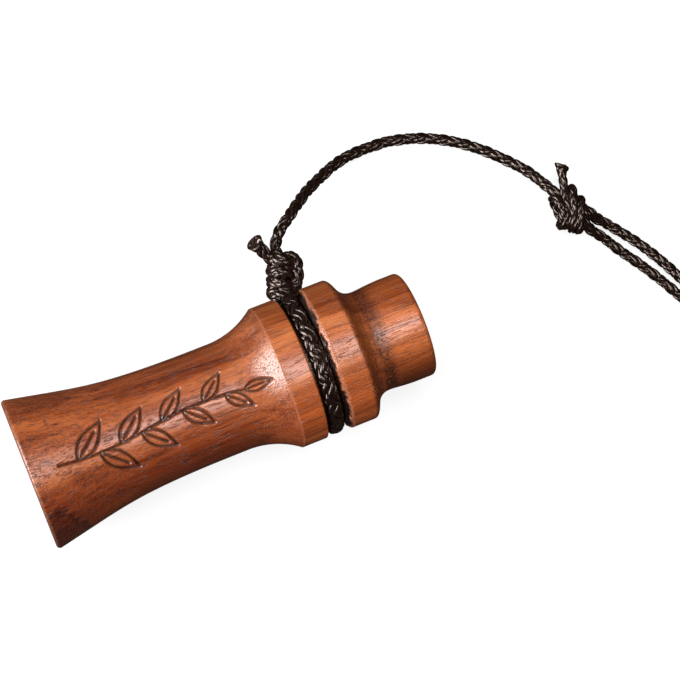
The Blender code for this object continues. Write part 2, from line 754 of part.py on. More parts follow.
def coil_tie(points, centre, angle, material, collection):
    curve = outline_curve("coil_tie", tie_outlines(points, centre, angle), TIE_WIDTH)
    tie = new_object("coil_tie", curve, collection, material)
    outward = Vector((math.cos(angle), math.sin(angle), 0))
    up = Vector((0, 0, 1))
    columns = Matrix((outward, up, outward.cross(up))).transposed()
    tie.matrix_world = Matrix.Translation((*centre, 0)) @ columns.to_4x4()
    return tie


def lanyard(materials, collection):
    cord = materials["cord"]

    ring, tight = noose_route()
    noose = spaced(smooth_curve(ring + tight), KNOT_STEP)
    tube("noose", noose, cord, collection, 1, knot_diameters(noose, length_of(tight)))
    loop_knot = spaced(smooth_curve(loop_knot_route()), KNOT_STEP)
    tube("loop_knot", loop_knot, cord, collection, 1, knot_diameters(loop_knot, length_of(loop_knot)))

    line = spaced(smooth_curve(line_route()), CORD_STEP)
    tube("cord_line", line, cord, collection, 2)

    coil, centre, first = coil_route()
    heading = (coil[1] - coil[0]).normalized()
    gap = heading * FIT_GAP
    straight = heading * CORD_DIAMETER
    out_route = [loop_core(1, FIT_GAP / 2), loop_core(1, LOOP_KNOT_HALF)]
    out_route += [*in_mm(LEAD_OUT_ROUTE), coil[0] - gap]
    back_route = [coil[-1] - gap, coil[-1] - gap - straight, *in_mm(LEAD_BACK_ROUTE)]
    back_route += [loop_core(-1, LOOP_KNOT_HALF), loop_core(-1, 0)]
    lead_out = spaced(smooth_curve(out_route), CORD_STEP)
    lead_back = spaced(smooth_curve(back_route), CORD_STEP)
    tube("neck_loop_lead_out", lead_out, cord, collection, 2)
    tube("neck_loop_lead_back", lead_back, cord, collection, 2)
    tube("neck_loop_coil", coil, cord, collection, 1)
    coil_tie(coil, centre, first + math.pi, materials["tie"], collection)

    for name, points, diameter in (
        ("noose", noose, TIGHT_CORD_DIAMETER),
        ("loop_knot", loop_knot, TIGHT_CORD_DIAMETER),
        ("neck_loop_coil", coil, CORD_DIAMETER),
    ):
        print(f"{name}: least gap to itself {least_gap(points, diameter) / MM:.2f} mm")
    neck_loop = length_of(lead_out) + length_of(coil) + length_of(lead_back)
    print(f"line {length_of(line) / MM:.0f} mm, neck loop {neck_loop / MM:.0f} mm")


def main():
    clear_scene()
    parts = new_collection("fox_call")
    cutters = new_collection("cutters")
    materials = {
        "walnut": new_material("walnut", (0.26, 0.085, 0.035), 0.42),
        "rubber": new_material("rubber", (0.02, 0.02, 0.02), 0.7),
        "cork": new_material("cork", (0.45, 0.28, 0.14), 0.85),
        "acetal": new_material("acetal", (0.03, 0.03, 0.032), 0.35),
        "brass": new_material("brass", (0.78, 0.55, 0.22), 0.25, 1.0),
        "cord": new_material("cord", (0.022, 0.013, 0.01), 0.5),
        "tie": new_material("tie", (0.03, 0.025, 0.022), 0.6),
    }

    axis = bpy.data.objects.new("call_axis", None)
    parts.objects.link(axis)
    axis.location = (world_x(0), 0, BELL_RADIUS)
    axis.rotation_euler = (0, math.pi / 2, 0)

    walnut = materials["walnut"]
    turned("barrel", barrel_profile(), walnut, parts, axis)
    turned("mouthpiece", mouthpiece_profile(), walnut, parts, axis)
    turned("voice_bush", bush_profile(), materials["cork"], parts, axis)
    for name, station in zip(("tenon_ring_outer", "tenon_ring_inner"), ring_stations()):
        tenon_ring(name, station, materials["rubber"], parts, axis)
    tone_board(materials["acetal"], parts, cutters, axis)
    reed(materials["brass"], parts, axis)
    reed_wedge(materials["acetal"], parts, cutters, axis)
    lanyard(materials, parts)

    for obj in parts.objects:
        if obj.type == "MESH":
            obj.data.shade_smooth()
            obj.data.set_sharp_from_angle(angle=math.radians(SHARP_ANGLE))


main()
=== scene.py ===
"""Looks of the fox call: oiled walnut with an engraved sprig, and a lanyard of braided cord.

Metres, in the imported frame: the call's axis lies along X, and Z = 0 is the surface that it lies on.
"""

import json
import math

import bpy
import numpy as np
from mathutils import Matrix, Vector, noise
from mathutils.geometry import interpolate_bezier

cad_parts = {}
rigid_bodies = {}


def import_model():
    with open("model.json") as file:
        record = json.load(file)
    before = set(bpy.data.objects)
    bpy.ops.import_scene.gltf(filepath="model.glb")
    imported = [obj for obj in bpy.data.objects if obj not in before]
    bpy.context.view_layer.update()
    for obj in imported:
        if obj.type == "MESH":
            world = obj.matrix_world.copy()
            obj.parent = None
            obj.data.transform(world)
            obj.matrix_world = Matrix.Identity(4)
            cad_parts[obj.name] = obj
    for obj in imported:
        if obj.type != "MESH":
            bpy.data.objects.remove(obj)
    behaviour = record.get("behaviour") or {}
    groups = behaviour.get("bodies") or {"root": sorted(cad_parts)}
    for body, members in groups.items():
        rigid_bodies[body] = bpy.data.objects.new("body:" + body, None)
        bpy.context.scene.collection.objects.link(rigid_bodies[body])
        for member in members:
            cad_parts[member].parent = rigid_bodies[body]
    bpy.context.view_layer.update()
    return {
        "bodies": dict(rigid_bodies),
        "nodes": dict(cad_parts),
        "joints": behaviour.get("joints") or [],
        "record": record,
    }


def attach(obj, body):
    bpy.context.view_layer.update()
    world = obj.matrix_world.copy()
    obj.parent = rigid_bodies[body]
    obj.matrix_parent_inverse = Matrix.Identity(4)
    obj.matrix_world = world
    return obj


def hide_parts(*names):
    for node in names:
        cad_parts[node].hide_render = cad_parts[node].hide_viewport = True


MM = 0.001

# Sizes of the turned pieces, as in the part's source
FIT_GAP = 0.3 * MM
BELL_RADIUS = 14.25 * MM
RIM_WALL = 1.9 * MM
RIM_ROUND = 0.7 * MM
MOUTH_ROUND = 0.5 * MM
BELL_LENGTH = 36.0 * MM
NECK_RADIUS = 10.33 * MM
NECK_LENGTH = 2.5 * MM
COVE_RADIUS = 15.4 * MM
COLLAR_RADIUS = 13.6 * MM
BARREL_COLLAR_LENGTH = 4.9 * MM
GROOVE_WIDTH = 3.9 * MM
GROOVE_DEPTH = 2.4 * MM
GROOVE_EDGE_ROUND = 0.35 * MM
FLARE_RIM_RUN = 0.37
FLARE_RIM_DROP = 0.66
FLARE_NECK_RUN = 0.56
HORN_RIM_RUN = 0.24
HORN_RIM_DROP = 0.6
HORN_THROAT_RUN = 0.4
THROAT_RADIUS = 6.5 * MM
HORN_LENGTH = 30.0 * MM
SOCKET_RADIUS = 8.6 * MM
MOUTHPIECE_COLLAR_LENGTH = 4.2 * MM
COLLAR_BEVEL_LENGTH = 1.1 * MM
COLLAR_BEVEL_DROP = 0.65 * MM
SHOULDER_LENGTH = 5.9 * MM
SHOULDER_EASE = 3.55 * MM
WAIST_RADIUS = 9.65 * MM
LIP_LENGTH = 9.1 * MM
LIP_RADIUS = 10.02 * MM
LIP_ROUND = 0.9 * MM
LIP_FLAT = 1 / 4
LIP_EASE = 1 / 3
WAIST_EASE = 1 / 8
TENON_LENGTH = 13.0 * MM
TENON_RADIUS = 8.1 * MM
TENON_CHAMFER = 0.5 * MM
BORE_RADIUS = 5.8 * MM
BORE_DEPTH = 7.2 * MM
BORE_TAPER = 3.5 * MM
INLET_RADIUS = 4.6 * MM
INLET_ROUND = 0.7 * MM
RING_THICKNESS = 1.1 * MM
RING_FROM_SHOULDER = 2.2 * MM
RING_FROM_END = 4.8 * MM

# Cord, as in the part's source
CORD_DIAMETER = 2.0 * MM
WINDING_GAP = 0.5 * MM
NOOSE_KNOT_FOOT = Vector((17.2, 14.5, 14.0)) * MM
KNOT_AXIS = Vector((0.362, 0.932, 0.0))
NOOSE_RIDER = (
    (-0.2, 5.0, -0.6),
    (1.0, 6.3, 0.1),
    (2.25, 5.5, 0.6),
    (2.6, 3.6, 0.7),
    (2.45, 1.7, 0.6),
    (1.75, 0.2, 0.8),
)
NOOSE_LEG_ANGLE = 20.0
NOOSE_WRAP_PLACE = (-0.45, -2.05, 0.0)
NOOSE_WRAP_HALF_WIDTH = 1.75 * MM
NOOSE_WRAP_HALF_HEIGHT = 1.85 * MM
NOOSE_WRAP_PITCH = 2.1 * MM
NOOSE_FIRST_ANGLE = -90.0
NOOSE_KNOT_TURNS = 3.72
NOOSE_TAIL = ((-3.2, 6.6, 0.8), (-4.2, 7.5, 1.4), (-5.1, 8.2, 2.3))
LINE_IN_KNOT = (
    (-0.45, 0.6, 0.0),
    (-0.45, 3.4, 0.0),
    (-0.75, 6.0, 0.0),
    (-1.33, 7.85, -0.4),
    (-1.06, 9.35, -0.6),
)
LINE_ROUTE = (
    (20.6, 24.8, 13.1),
    (21.9, 25.8, 12.8),
    (23.4, 26.8, 12.3),
    (26.1, 28.6, 10.4),
    (29.1, 30.4, 8.2),
    (32.2, 31.8, 6.0),
    (35.4, 33.1, 4.2),
    (38.6, 34.0, 2.8),
    (41.9, 34.4, 1.8),
    (45.2, 34.4, 1.25),
    (48.4, 34.2, 1.05),
    (54.4, 32.6, 1.05),
    (60.1, 29.8, 1.05),
    (65.1, 26.1, 1.05),
    (69.6, 21.7, 1.1),
    (71.6, 19.3, 1.4),
    (73.1, 16.7, 2.1),
)
LOOP_KNOT_CENTRE = Vector((76.14, 9.74, 3.3)) * MM
LOOP_KNOT_AXIS = Vector((0.62, -0.785, 0.0))
LOOP_CORE_GAP = 0.4 * MM
LOOP_KNOT_HALF = 4.05 * MM
LOOP_WRAP_CENTRE = Vector((75.44, 9.59, 3.3)) * MM
LOOP_WRAP_HALF_HEIGHT = 1.9
LOOP_WRAPS = (
    ((2.35, -3.9), (2.8, 2.0)),
    ((1.2, -3.7), (1.05, 4.2)),
    ((-1.05, -3.1), (-2.6, 2.1)),
    ((0.15, -3.1), (-0.4, 4.0)),
)
LOOP_FIRST_TURN = -0.2
LOOP_LAST_TURN = 3.2
LOOP_TAIL = ((-0.4, 2.6, 1.3), (-0.6, 4.6, 0.9), (-0.85, 6.6, 0.9), (-1.05, 8.4, 0.9))
LEAD_OUT_ROUTE = (
    (80.7, 6.0, 2.4),
    (82.2, 4.6, 1.5),
    (84.5, 1.9, 1.05),
    (86.8, -1.1, 1.05),
    (88.9, -4.3, 1.05),
    (90.9, -7.8, 1.05),
    (92.8, -11.6, 1.05),
    (95.6, -17.3, 1.15),
)
LEAD_BACK_ROUTE = (
    (94.1, -19.2, 2.1),
    (92.3, -16.4, 1.2),
    (89.5, -11.3, 1.05),
    (87.4, -7.8, 1.05),
    (85.3, -4.6, 1.05),
    (83.1, -1.5, 1.05),
    (81.0, 1.8, 1.3),
    (79.1, 4.0, 2.3),
)
COIL_START = Vector((99.4, -25.0)) * MM
COIL_HEADING = Vector((0.44, -0.898))
COIL_TURNS = 3.25
COIL_INNER_RADIUS = 9.0 * MM
CLIMB_START = 0.3
CLIMB_LENGTH = 0.4
TIE_THICKNESS = 0.5 * MM
TIE_WIDTH = 3.0 * MM
POINTS_PER_TURN = 24
WRAP_POINTS_PER_TURN = 16
CURVE_POINTS = 12

# Stations along the call's axis, from the bell's rim
COVE_STATION = BELL_LENGTH + NECK_LENGTH
COVE_ANGLE = math.acos(1 - (COLLAR_RADIUS - NECK_RADIUS) / COVE_RADIUS)
ARRIS_STATION = COVE_STATION + COVE_RADIUS * math.sin(COVE_ANGLE)
GROOVE_STATION = ARRIS_STATION + BARREL_COLLAR_LENGTH
JOINT_STATION = GROOVE_STATION + GROOVE_WIDTH
SHOULDER_STATION = JOINT_STATION + MOUTHPIECE_COLLAR_LENGTH
WAIST_STATION = SHOULDER_STATION + SHOULDER_LENGTH
LENGTH = WAIST_STATION + LIP_LENGTH
TENON_STATION = JOINT_STATION - TENON_LENGTH
SOCKET_STATION = TENON_STATION - FIT_GAP
AXIS_HEIGHT = BELL_RADIUS

# Sizes that follow
MOUTH_RADIUS = BELL_RADIUS - RIM_WALL
GROOVE_FLOOR_RADIUS = COLLAR_RADIUS - GROOVE_DEPTH
RING_OUTER_RADIUS = SOCKET_RADIUS - FIT_GAP
RING_GROOVE_RADIUS = RING_OUTER_RADIUS - RING_THICKNESS - FIT_GAP
RING_GROOVE_WIDTH = RING_THICKNESS + 2 * FIT_GAP
NOOSE_RADIUS = GROOVE_FLOOR_RADIUS + FIT_GAP + CORD_DIAMETER / 2
LOOP_CORE_OFFSET = (CORD_DIAMETER + LOOP_CORE_GAP) / 2
COIL_PITCH = CORD_DIAMETER + WINDING_GAP
COIL_LAYER_STEP = COIL_PITCH * math.sqrt(3) / 2
COIL_OUTER_RADIUS = COIL_INNER_RADIUS + COIL_PITCH * COIL_TURNS
COIL_FLOOR = TIE_THICKNESS + FIT_GAP + CORD_DIAMETER / 2

# Wood grain: its turn in degrees and its place in millimetres, and where along X the low side is not darkened
GRAIN_TURN = (72.0, 1.0, 1.8)
GRAIN_PLACE = (0.0, 31.0, 11.0)
COLLARS_MIDDLE = 17.5

# Growth rings: the way across them, their width in millimetres, and where one starts as a share of it
RING_ACROSS = (0.0, 0.949, -0.316)
RING_WIDTH = 2.7
RING_START = 0.54

# A dark flame in the wood at the bell's rim, in millimetres: its middle and its half sizes
FLAME_PLACE = (-39.0, -14.5, 14.0)
FLAME_SIZE = (8.6, 11.5, 22.0)

# Colours of the wood, and then the shares that they are multiplied by
WOOD_TONES = (
    (0.375, (0.110, 0.018, 0.005)),
    (0.445, (0.265, 0.054, 0.013)),
    (0.505, (0.390, 0.090, 0.023)),
    (0.595, (0.520, 0.142, 0.040)),
)
# A darker colour laid on the low side away from the collars.
LOW_SIDE_DARK = (0.080, 0.013, 0.004, 1.0)
DARK_STREAK = (0.085, 0.014, 0.005, 1.0)
FLAME = (0.045, 0.006, 0.003, 1.0)
PORE = (0.070, 0.012, 0.004, 1.0)
END_GRAIN = (0.125, 0.027, 0.008, 1.0)
# The soaked colour is oil-soaked end grain in the waist and partly painted shade there, more on the low side.
SOAKED_AND_SHADED_WOOD = (0.045, 0.008, 0.003, 1.0)
# The pale colour is wear on the torn bevel and a painted highlight along the arris and the rim.
WEAR_AND_HIGHLIGHT_COLOUR = (0.62, 0.26, 0.15, 1.0)
# The dark colour is the sprig's burn, and painted shade in the groove and on the bevel below its torn edge.
BURN_AND_SHADE_COLOUR = (0.014, 0.0045, 0.0026, 1.0)

PALER_WOOD = (1.5, 1.72, 1.8, 1.0)
LATE_WOOD = (0.62, 0.55, 0.5, 1.0)
RING_LINE = (0.5, 0.42, 0.38, 1.0)
LIP_WOOD = (1.12, 1.11, 1.07, 1.0)
# The low side's multiplier is painted shade: it makes the shaded low side redder and darker.
LOW_SIDE_SHADE_TINT = (1.1, 0.78, 0.62, 1.0)

# The mouthpiece along X from its shoulder, and the shares of oil-soaked end grain and painted shade that its
# waist has there
SHOULDER_PLACE = 22.0
SHOULDER_TO_END = 12.0
WAIST_OIL_AND_SHADE = (
    (0.167, 0.0),
    (0.217, 0.8),
    (0.417, 0.8),
    (0.460, 0.4),
    (0.525, 1.0),
    (0.650, 1.0),
    (0.710, 0.3),
    (0.767, 0.0),
)

# Colours of the cord's fibres
CORD_TONES = (
    (0.35, (0.003, 0.0013, 0.0009)),
    (0.55, (0.010, 0.0046, 0.0032)),
    (0.75, (0.05, 0.027, 0.020)),
)
CORD_PATCH = (0.009, 0.0042, 0.003, 1.0)
CORD_GLOSS = (1.0, 0.80, 0.71, 1.0)

# Plain finishes: light and dark colour, roughness, noise cells per millimetre on X, Y and Z, relief in
# millimetres, and how metallic
FINISHES = {
    "cork": ((0.52, 0.33, 0.17), (0.30, 0.17, 0.08), 0.75, (1.6, 1.6, 1.6), 0.12, 0.0),
    "acetal_board": ((0.05, 0.05, 0.052), (0.025, 0.025, 0.027), 0.3, (0.4, 6.0, 6.0), 0.01, 0.0),
    "acetal_wedge": ((0.055, 0.052, 0.05), (0.03, 0.028, 0.027), 0.35, (4.0, 0.5, 4.0), 0.01, 0.0),
    "brass_reed": ((0.83, 0.60, 0.25), (0.68, 0.46, 0.17), 0.18, (0.5, 9.0, 9.0), 0.004, 1.0),
    "rubber_ring": ((0.035, 0.035, 0.036), (0.015, 0.015, 0.016), 0.5, (3.0, 3.0, 3.0), 0.02, 0.0),
    "woven_tape": ((0.06, 0.048, 0.04), (0.02, 0.016, 0.013), 0.55, (1.5, 1.5, 1.5), 0.06, 0.0),
}
INNER_FINISHES = {
    "voice_bush": "cork",
    "tone_board": "acetal_board",
    "reed_wedge": "acetal_wedge",
    "reed": "brass_reed",
    "tenon_ring_outer": "rubber_ring",
    "tenon_ring_inner": "rubber_ring",
}

# Lamps: place, target, size, watts, and whether gloss and plain surfaces take their light
LAMPS = {
    "overhead": ((0.07, 0.02, 0.58), (0.01, 0.0, 0.0), (0.30, 0.30), 1.5, True, True),
    "bell_side": ((-0.42, 0.07, 0.35), (0.0, 0.0, 0.01), (0.30, 0.26), 2.6, False, True),
    "far_side": ((-0.03, 0.36, 0.46), (0.0, 0.0, 0.01), (0.40, 0.24), 1.0, False, True),
    "lip_side": ((0.50, -0.12, 0.20), (0.03, 0.0, 0.014), (0.30, 0.24), 0.5, False, True),
    "bell_glint": ((-0.45, 0.12, 0.29), (0.01, 0.0, 0.02), (0.48, 0.36), 6.4, True, False),
}
WORLD_LIGHT = (0.042, 0.027, 0.017, 1.0)
FLOOR_SEEN = (0.3, 0.3, 0.3, 1.0)
FLOOR_UNSEEN = (0.03, 0.017, 0.010, 1.0)
FLOOR_GLOW = 0.8
WHITE = (1.0, 1.0, 1.0, 1.0)

# Camera
CAMERA_PLACE = Vector((-37.598, 2.209, 420.82)) * MM
CAMERA_RIGHT = Vector((0.92041, -0.36553, 0.13871))
CAMERA_UP = Vector((0.36145, 0.93080, 0.05447))
CAMERA_LENS = 118.38

# The collar's corner at the shoulder is crisper than in the part's source
CORNER_RUN = 1.3 * MM
CORNER_EASE = 1.6 * MM

# Engraved sprig: its stem runs along the top of the barrel. Sizes in millimetres.
SPRIG_FIRST = 5.5
SPRIG_LAST = 41.0
SPRIG_SWAY = 0.9
SPRIG_WAVES = 0.9
SPRIG_WAVE_START = 0.4
SPRIG_LEAVES = 8
SPRIG_LEAF_LENGTH = 8.2
SPRIG_LEAF_WIDTH = 3.3
SPRIG_LEAF_ANGLE = 42.0
SPRIG_LEAF_TAPER = 0.35
SPRIG_TIP_LEAF = 0.6
SPRIG_VEIN = 0.72
SPRIG_LINE = 0.34
SPRIG_BURN = 0.27
SPRIG_BURN_FADE = 0.12
SPRIG_DEPTH = 0.42
SPRIG_REACH = 8.0

# A hair's breadth, to tell the faces of the turned wood apart
HAIR = 0.02 * MM

# Painted highlights along the barrel's arris and rim, and the torn edge of the mouthpiece's bevel as shares
# of its length
ARRIS_WIDTH = 0.12 * MM
ARRIS_HIGHLIGHT = 0.6
RIM_HIGHLIGHT = 0.5
TEAR_LEAST = 0.15
TEAR_MOST = 0.95
TEAR_ON_TOP = 0.45
TEAR_WAVES = ((0.4, 6.0, 2.0), (0.35, 22.0, 5.0))
TEAR_FADE = 0.2
TEAR_LIFT = 0.3
TEAR_DEPTH = 0.8 * MM

# How finely the turned wood is drawn, along the flare and round its axis: closer over the sprig
FLARE_STEPS = 280
SPRIG_HALF_ANGLE = math.radians(36)
SPRIG_STEPS = 110
BARREL_STEPS = 100
MOUTHPIECE_STEPS = 260

# Braid of the cord, as shares of its width: strands round a core
BRAID_PITCH = 8.8 * MM
BRAID_RADIUS = 0.27
BRAID_WAVE = 0.085
BRAID_FLATNESS = 1.7
STRANDS_EACH_WAY = 4
STRAND_HALF_WIDTH = 0.19
STRAND_HALF_HEIGHT = 0.15
CORE_RADIUS = 0.24
LINE_WIDTH = 1.2 * CORD_DIAMETER
LINE_HEIGHT = 1.04 * CORD_DIAMETER
NECK_LOOP_WIDTH = 1.12 * CORD_DIAMETER
NECK_LOOP_SPREAD = 0.28 * CORD_DIAMETER
NOOSE_WIDTH = 2.7 * MM
NOOSE_SPREAD = 0.7 * MM
NOOSE_HEIGHT = 2.1 * MM
NOOSE_RIDER_LENGTH = 9.0 * MM
NOOSE_EASE = 3.0 * MM
NOOSE_TIP = 3.0 * MM
NOOSE_TIP_WIDER = 1.2
NOOSE_TIP_HIGHER = 1.4
NOOSE_SEAL_REACH = 0.5 * MM
LOOP_KNOT_WIDTH = 1.9 * MM
LOOP_KNOT_FLATNESS = 0.95
LOOP_KNOT_TIP = 1.5 * MM
LOOP_KNOT_TIP_WIDER = 1.35
LOOP_KNOT_SLANT = 0.45

# Melted end of a cord, from its side to its middle: (share of the width, place along it in millimetres)
SEAL_PROFILE = (
    (0.85, -0.7),
    (1.0, -0.35),
    (1.06, 0.0),
    (0.95, 0.22),
    (0.75, 0.16),
    (0.55, -0.05),
    (0.2, -0.12),
)
SEAL_SIDES = 20
SEAL_WAVE = 0.08

# Woven tape of the tie, and how closely the cords are drawn
TAPE_THREAD = 0.6 * MM
TAPE_RELIEF = 0.06 * MM
LINE_STEP = 0.2 * MM
COIL_STEP = 0.3 * MM

# Angles in degrees above which an edge is shaded sharp
WOOD_SHARP_ANGLE = 40.0
CORD_SHARP_ANGLE = 80.0
TAPE_SHARP_ANGLE = 60.0


# Turned wood


def arc(centre, radius, first, last, count):
    angles = np.radians(np.linspace(first, last, count + 1))
    return [(centre[0] + radius * math.cos(a), centre[1] + radius * math.sin(a)) for a in angles]


def bezier(start, start_handle, end_handle, end, count):
    corners = [Vector((*point, 0)) for point in (start, start_handle, end_handle, end)]
    return [(point.x, point.y) for point in interpolate_bezier(*corners, count + 1)]


def line(start, end, count):
    return [tuple(point) for point in np.linspace(start, end, count + 1)]


def barrel_profile():
    """(radius, station) points of the barrel, from its socket round the outside to the bell, and inside."""
    edge = (COLLAR_RADIUS - GROOVE_EDGE_ROUND, GROOVE_STATION - GROOVE_EDGE_ROUND)
    profile = [(GROOVE_FLOOR_RADIUS, JOINT_STATION - FIT_GAP), (GROOVE_FLOOR_RADIUS, GROOVE_STATION)]
    profile += arc(edge, GROOVE_EDGE_ROUND, 90, 0, 6)
    collar_foot = (COLLAR_RADIUS, GROOVE_STATION - GROOVE_EDGE_ROUND)
    profile += line(collar_foot, (COLLAR_RADIUS, ARRIS_STATION), 12)[1:]
    for angle in np.linspace(COVE_ANGLE, 0, 54)[1:]:
        radius = NECK_RADIUS + COVE_RADIUS * (1 - math.cos(angle))
        profile.append((radius, COVE_STATION + COVE_RADIUS * math.sin(angle)))
    profile += line((NECK_RADIUS, COVE_STATION), (NECK_RADIUS, BELL_LENGTH), 14)[1:]
    run = BELL_LENGTH - RIM_ROUND
    drop = BELL_RADIUS - NECK_RADIUS
    profile += bezier(
        (NECK_RADIUS, BELL_LENGTH),
        (NECK_RADIUS, BELL_LENGTH - FLARE_NECK_RUN * run),
        (BELL_RADIUS - FLARE_RIM_DROP * drop, RIM_ROUND + FLARE_RIM_RUN * run),
        (BELL_RADIUS, RIM_ROUND),
        FLARE_STEPS,
    )[1:]
    profile += arc((BELL_RADIUS - RIM_ROUND, RIM_ROUND), RIM_ROUND, 0, -90, 8)[1:]
    profile += arc((MOUTH_RADIUS + MOUTH_ROUND, MOUTH_ROUND), MOUTH_ROUND, 270, 180, 6)
    horn_run = HORN_LENGTH - MOUTH_ROUND
    horn_drop = MOUTH_RADIUS - THROAT_RADIUS
    profile += bezier(
        (MOUTH_RADIUS, MOUTH_ROUND),
        (MOUTH_RADIUS - HORN_RIM_DROP * horn_drop, MOUTH_ROUND + HORN_RIM_RUN * horn_run),
        (THROAT_RADIUS, HORN_LENGTH - HORN_THROAT_RUN * horn_run),
        (THROAT_RADIUS, HORN_LENGTH),
        40,
    )[1:]
    profile += [(THROAT_RADIUS, SOCKET_STATION), (SOCKET_RADIUS, SOCKET_STATION)]
    profile.append((SOCKET_RADIUS, JOINT_STATION - FIT_GAP))
    return profile


def mouthpiece_profile():
    profile = arc((LIP_RADIUS - LIP_ROUND, LENGTH - LIP_ROUND), LIP_ROUND, 90, 0, 10)
    profile += bezier(
        (LIP_RADIUS, LENGTH - LIP_ROUND - LIP_LENGTH * LIP_FLAT),
        (LIP_RADIUS, WAIST_STATION + LIP_LENGTH * LIP_EASE),
        (WAIST_RADIUS, WAIST_STATION + LIP_LENGTH * WAIST_EASE),
        (WAIST_RADIUS, WAIST_STATION),
        24,
    )
    profile += bezier(
        (WAIST_RADIUS, WAIST_STATION),
        (WAIST_RADIUS, WAIST_STATION - SHOULDER_EASE),
        (COLLAR_RADIUS, SHOULDER_STATION + CORNER_RUN + CORNER_EASE),
        (COLLAR_RADIUS, SHOULDER_STATION + CORNER_RUN),
        40,
    )[1:]
    bevel_top = (COLLAR_RADIUS, JOINT_STATION + COLLAR_BEVEL_LENGTH)
    bevel_foot = (COLLAR_RADIUS - COLLAR_BEVEL_DROP, JOINT_STATION)
    profile += line((COLLAR_RADIUS, SHOULDER_STATION + CORNER_RUN), bevel_top, 14)[1:]
    profile += line(bevel_top, bevel_foot, 12)[1:]
    profile += line(bevel_foot, (GROOVE_FLOOR_RADIUS, JOINT_STATION), 6)[1:]
    profile.append((TENON_RADIUS, JOINT_STATION))
    for station in (JOINT_STATION - RING_FROM_SHOULDER, TENON_STATION + RING_FROM_END):
        top = station + RING_GROOVE_WIDTH / 2
        foot = station - RING_GROOVE_WIDTH / 2
        profile += [
            (TENON_RADIUS, top),
            (RING_GROOVE_RADIUS, top),
            (RING_GROOVE_RADIUS, foot),
            (TENON_RADIUS, foot),
        ]
    profile.append((TENON_RADIUS, TENON_STATION + TENON_CHAMFER))
    profile.append((TENON_RADIUS - TENON_CHAMFER, TENON_STATION))
    bore_end = JOINT_STATION + BORE_DEPTH
    profile += [(BORE_RADIUS, TENON_STATION), (BORE_RADIUS, bore_end), (INLET_RADIUS, bore_end + BORE_TAPER)]
    profile += arc((INLET_RADIUS + INLET_ROUND, LENGTH - INLET_ROUND), INLET_ROUND, 180, 90, 8)
    return profile


def add_object(name, data):
    obj = bpy.data.objects.new(name, data)
    bpy.context.scene.collection.objects.link(obj)
    return obj


def add_smooth(name, mesh, material, sharp_angle):
    mesh.shade_smooth()
    mesh.set_sharp_from_angle(angle=math.radians(sharp_angle))
    mesh.materials.append(material)
    return add_object(name, mesh)


def closed_sweep(name, rings, material, sharp_angle):
    """A mesh of closed rings, the last of which joins the first."""
    index = np.arange(rings.shape[0] * rings.shape[1]).reshape(rings.shape[:2])
    beside = np.roll(index, -1, axis=0)
    faces = np.stack([index, np.roll(index, -1, axis=1), np.roll(beside, -1, axis=1), beside], axis=-1)
    mesh = bpy.data.meshes.new(name)
    mesh.from_pydata(rings.reshape(-1, 3).tolist(), [], faces.reshape(-1, 4).tolist())
    return add_smooth(name, mesh, material, sharp_angle)


def turned(name, profile, angles, shape, material):
    """A closed turned piece. shape takes grids of radius, station and angle. It gives the radius and station
    that they become, and the shares of burn and painted shade, and of wear and painted highlight there."""
    radius, angle = np.meshgrid([point[0] for point in profile], angles)
    station = np.broadcast_to([point[1] for point in profile], radius.shape)
    radius, station, burn_and_shade, wear_and_highlight = shape(radius, station, angle)
    x = world_x(station)
    y = radius * np.cos(angle)
    z = AXIS_HEIGHT + radius * np.sin(angle)
    obj = closed_sweep(name, np.stack([x, y, z], axis=-1), material, WOOD_SHARP_ANGLE)
    for label, values in (("burn_and_shade", burn_and_shade), ("wear_and_highlight", wear_and_highlight)):
        attribute = obj.data.attributes.new(label, "FLOAT", "POINT")
        attribute.data.foreach_set("value", values.ravel().astype(np.float32))
    return obj


def leaf(root, heading, length, width):
    """A pointed leaf's outline and its middle vein, as lines of points."""
    along = np.array([math.cos(heading), math.sin(heading)])
    across = np.array([-along[1], along[0]])
    share = np.linspace(0, 1, 26)[:, None]
    bulge = width / 2 * np.sin(math.pi * share**0.8)
    middle = root + along * (length * share)
    vein = root + along * (length * np.linspace(0.0, SPRIG_VEIN, 8)[:, None])
    return [middle + across * bulge, middle - across * bulge, vein]


def sprig_lines():
    """The sprig's lines as points (station, distance across the top of the barrel), in millimetres."""
    station = np.linspace(SPRIG_FIRST, SPRIG_LAST, 80)
    share = (station - SPRIG_FIRST) / (SPRIG_LAST - SPRIG_FIRST)
    sway = SPRIG_SWAY * np.sin(math.tau * share * SPRIG_WAVES + SPRIG_WAVE_START)
    stem = np.stack([station, sway], axis=1)
    lines = [stem]
    for number in range(SPRIG_LEAVES):
        place = 0.1 + 0.8 * number / (SPRIG_LEAVES - 1)
        root = stem[round(place * (len(stem) - 1))]
        side = 1 if number % 2 else -1
        size = 1.0 - SPRIG_LEAF_TAPER * place
        heading = side * math.radians(SPRIG_LEAF_ANGLE)
        lines += leaf(root, heading, SPRIG_LEAF_LENGTH * size, SPRIG_LEAF_WIDTH * size)
    lines += leaf(stem[-1], 0.0, SPRIG_LEAF_LENGTH * SPRIG_TIP_LEAF, SPRIG_LEAF_WIDTH * SPRIG_TIP_LEAF)
    return lines


def distance_to_lines(points, lines):
    """Distance of each point from the nearest of the lines."""
    least = np.full(len(points), np.inf)
    for line_points in lines:
        for start, end in zip(line_points, line_points[1:]):
            run = end - start
            share = np.clip((points - start) @ run / (run @ run + 1e-12), 0, 1)
            gap = np.linalg.norm(points - start - share[:, None] * run, axis=1)
            least = np.minimum(least, gap)
    return least


def rough(angle, scale, seed):
    """Smooth noise round the call, from -1 to 1."""
    return np.array([noise.noise((scale * math.cos(a), scale * math.sin(a), seed)) for a in angle])


